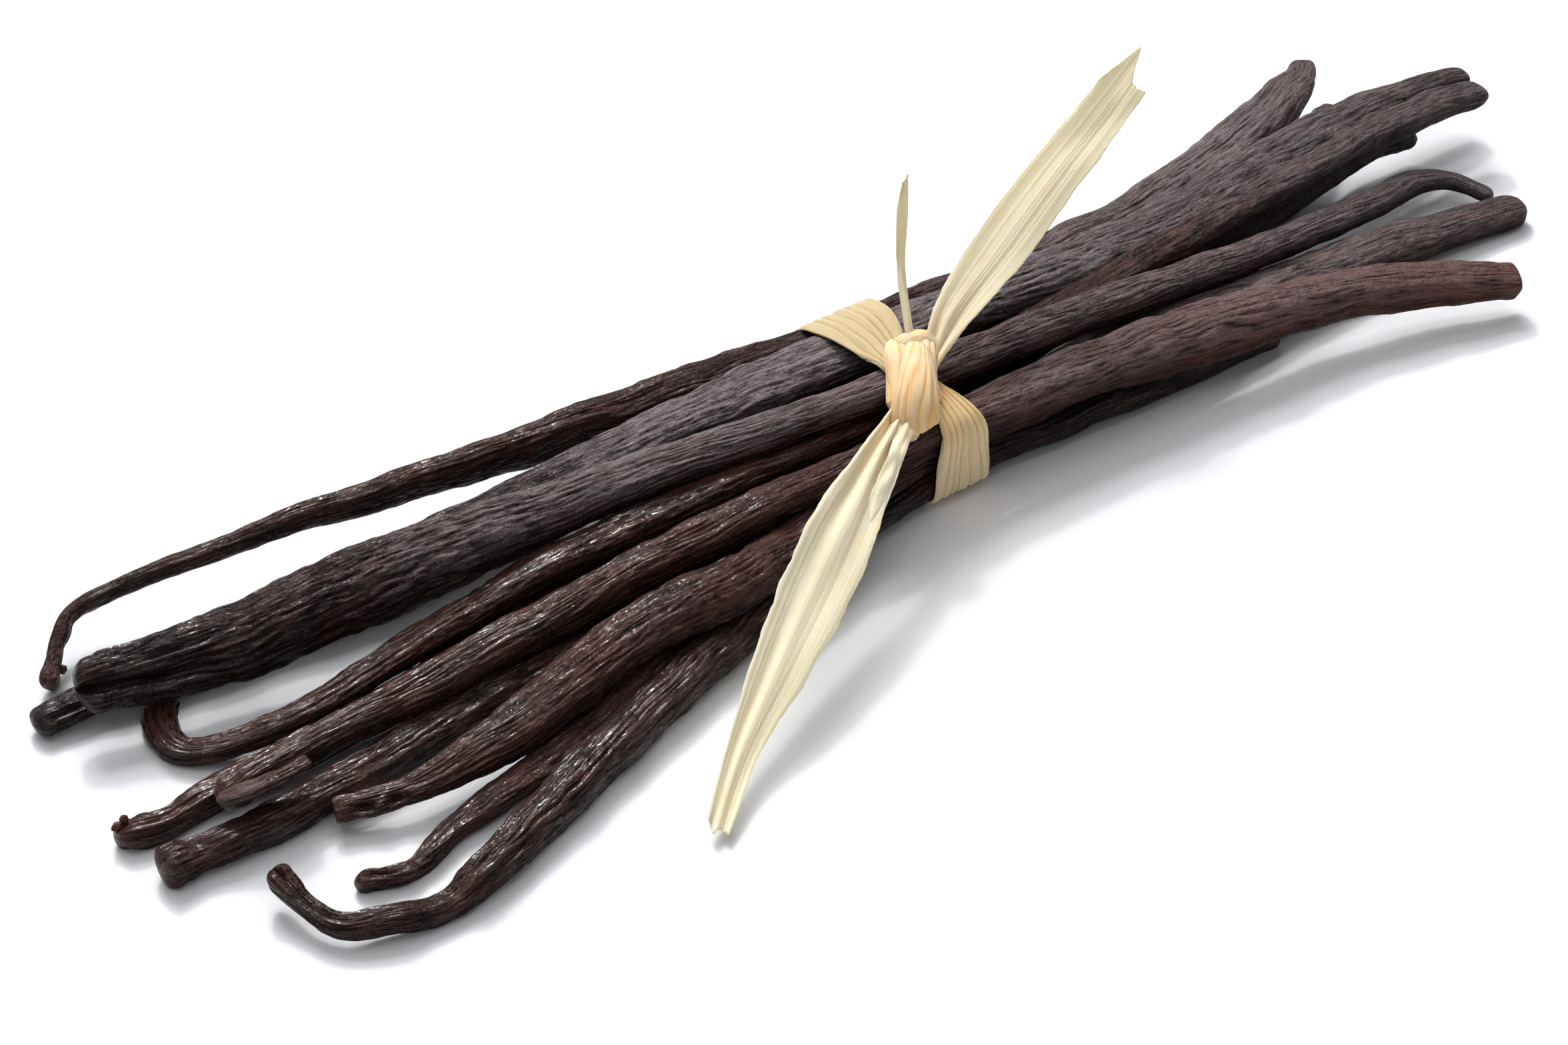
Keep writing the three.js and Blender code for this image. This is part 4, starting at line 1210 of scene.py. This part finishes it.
class VANILLA_OT_stage(bpy.types.Operator):
    """Set up the floor, the lights and the camera"""

    bl_idname = "vanilla.stage"
    bl_label = "Set the stage"

    def execute(self, context):
        looks = context.scene.vanilla_studio
        lay_floor(looks)
        set_lights(context.scene, looks)
        place_camera(context.scene)
        return {"FINISHED"}


def raffia_material(looks):
    """The raffia's one material, made when it is first asked for."""
    return bpy.data.materials.get("raffia_leaf") or raffia_leaf("raffia_leaf", looks)


# ---- Stage ----

FLOOR_HALF = 3.0  # half the floor's side, in metres
CAMERA_AIM = Vector((-0.01384, 0.00549, -0.00127))  # the place in the middle of the view, in metres
CAMERA_DISTANCE = 0.42  # from that place, in metres
CAMERA_HEADING = math.radians(36)  # the view's direction, turned from +Y towards +X
CAMERA_DIP = math.radians(40)  # the view's direction below the level
SENSOR = 36.0  # mm
FOCAL = 90.6  # mm
NEAREST = 0.01  # the camera sees nothing nearer than this, in metres
SKY_COLOUR = (0.93, 0.96, 1.0)
LAMP_COLOUR = (1, 0.99, 0.98)
# The directions that the lamps shine from.
KEY_FROM = Vector((0.22, 0.74, 0.85))
TOP_FROM = Vector((0.0, 0.25, 1.0))
GLINT_FROM = Vector((0.3, 0.9, 0.95))
FILL_FROM = Vector((-0.45, -0.7, 0.6))


def lay_floor(looks):
    """A large square floor under the bundle."""
    mesh = bpy.data.meshes.new("floor")
    corners = [(x * FLOOR_HALF, y * FLOOR_HALF, 0) for x, y in ((-1, -1), (1, -1), (1, 1), (-1, 1))]
    mesh.from_pydata(corners, [], [(0, 1, 2, 3)])
    floor = bpy.data.objects.new("floor", mesh)
    bpy.context.scene.collection.objects.link(floor)
    mesh.materials.append(plain_floor("floor", looks.floor))


def area_light(scene, name, direction, distance, size, power):
    """A square soft light that faces the bundle."""
    lamp = bpy.data.lights.new(name, "AREA")
    lamp.shape = "SQUARE"
    lamp.size = size
    lamp.energy = power
    lamp.color = LAMP_COLOUR
    light = bpy.data.objects.new(name, lamp)
    scene.collection.objects.link(light)
    light.location = direction.normalized() * distance
    light.rotation_euler = (-direction).to_track_quat("-Z", "Y").to_euler()


def set_lights(scene, looks):
    """Faint even light, a soft key behind the bundle, a much larger light overhead, a small one that
    makes glints and a soft fill in front. Distances and sizes are in metres."""
    world = bpy.data.worlds.new("studio")
    world.use_nodes = True
    background = world.node_tree.nodes["Background"]
    background.inputs["Color"].default_value = opaque(SKY_COLOUR)
    background.inputs["Strength"].default_value = looks.sky
    scene.world = world
    for name, direction, distance, size, power in (
        ("key", KEY_FROM, 0.9, 0.42, looks.key_power),
        ("top", TOP_FROM, 1.2, 1.7, looks.top_power),
        ("glint", GLINT_FROM, 0.9, 0.06, looks.glint_power),
        ("fill", FILL_FROM, 1.2, 1.0, looks.fill_power),
    ):
        area_light(scene, name, direction, distance, size, power)
    scene.view_settings.view_transform = "Standard"


def place_camera(scene):
    """A long lens that looks down on the bundle."""
    data = bpy.data.cameras.new("camera")
    data.sensor_width = SENSOR
    data.lens = FOCAL
    data.clip_start = NEAREST
    camera = bpy.data.objects.new("camera", data)
    scene.collection.objects.link(camera)
    level = Vector((math.sin(CAMERA_HEADING), math.cos(CAMERA_HEADING), 0))
    view = level * math.cos(CAMERA_DIP) - Vector(UP) * math.sin(CAMERA_DIP)
    camera.location = CAMERA_AIM - view * CAMERA_DISTANCE
    camera.rotation_euler = view.to_track_quat("-Z", "Y").to_euler()
    scene.camera = camera


# ---- Panel and registering ----

OPERATORS = (VANILLA_OT_pods, VANILLA_OT_band, VANILLA_OT_knot, VANILLA_OT_tails, VANILLA_OT_stage)


class VANILLA_PT_bundle(bpy.types.Panel):
    """Lists the steps and the looks that can be changed"""

    bl_idname = "VANILLA_PT_bundle"
    bl_label = "Vanilla pod bundle"
    bl_space_type = "VIEW_3D"
    bl_region_type = "UI"
    bl_category = "Vanilla"

    def draw(self, context):
        for operator in OPERATORS:
            self.layout.operator(operator.bl_idname)
        for group in GROUPS:
            looks = getattr(context.scene, group)
            box = self.layout.box()
            for key in looks.bl_rna.properties.keys():
                if key not in ("rna_type", "name"):
                    box.prop(looks, key)


GROUPS = {"vanilla_pods": PodLooks, "vanilla_raffia": RaffiaLooks, "vanilla_studio": StudioLooks}


def register():
    for cls in (*GROUPS.values(), *OPERATORS, VANILLA_PT_bundle):
        bpy.utils.register_class(cls)
    for key, group in GROUPS.items():
        setattr(bpy.types.Scene, key, PointerProperty(type=group))


def unregister():
    for key in GROUPS:
        delattr(bpy.types.Scene, key)
    for cls in (VANILLA_PT_bundle, *reversed(OPERATORS), *GROUPS.values()):
        bpy.utils.unregister_class(cls)


def main():
    register()
    bpy.ops.vanilla.stage()
    bpy.ops.vanilla.pods()
    bpy.ops.vanilla.band()
    bpy.ops.vanilla.knot()
    bpy.ops.vanilla.tails()


if __name__ == "__main__":
    main()
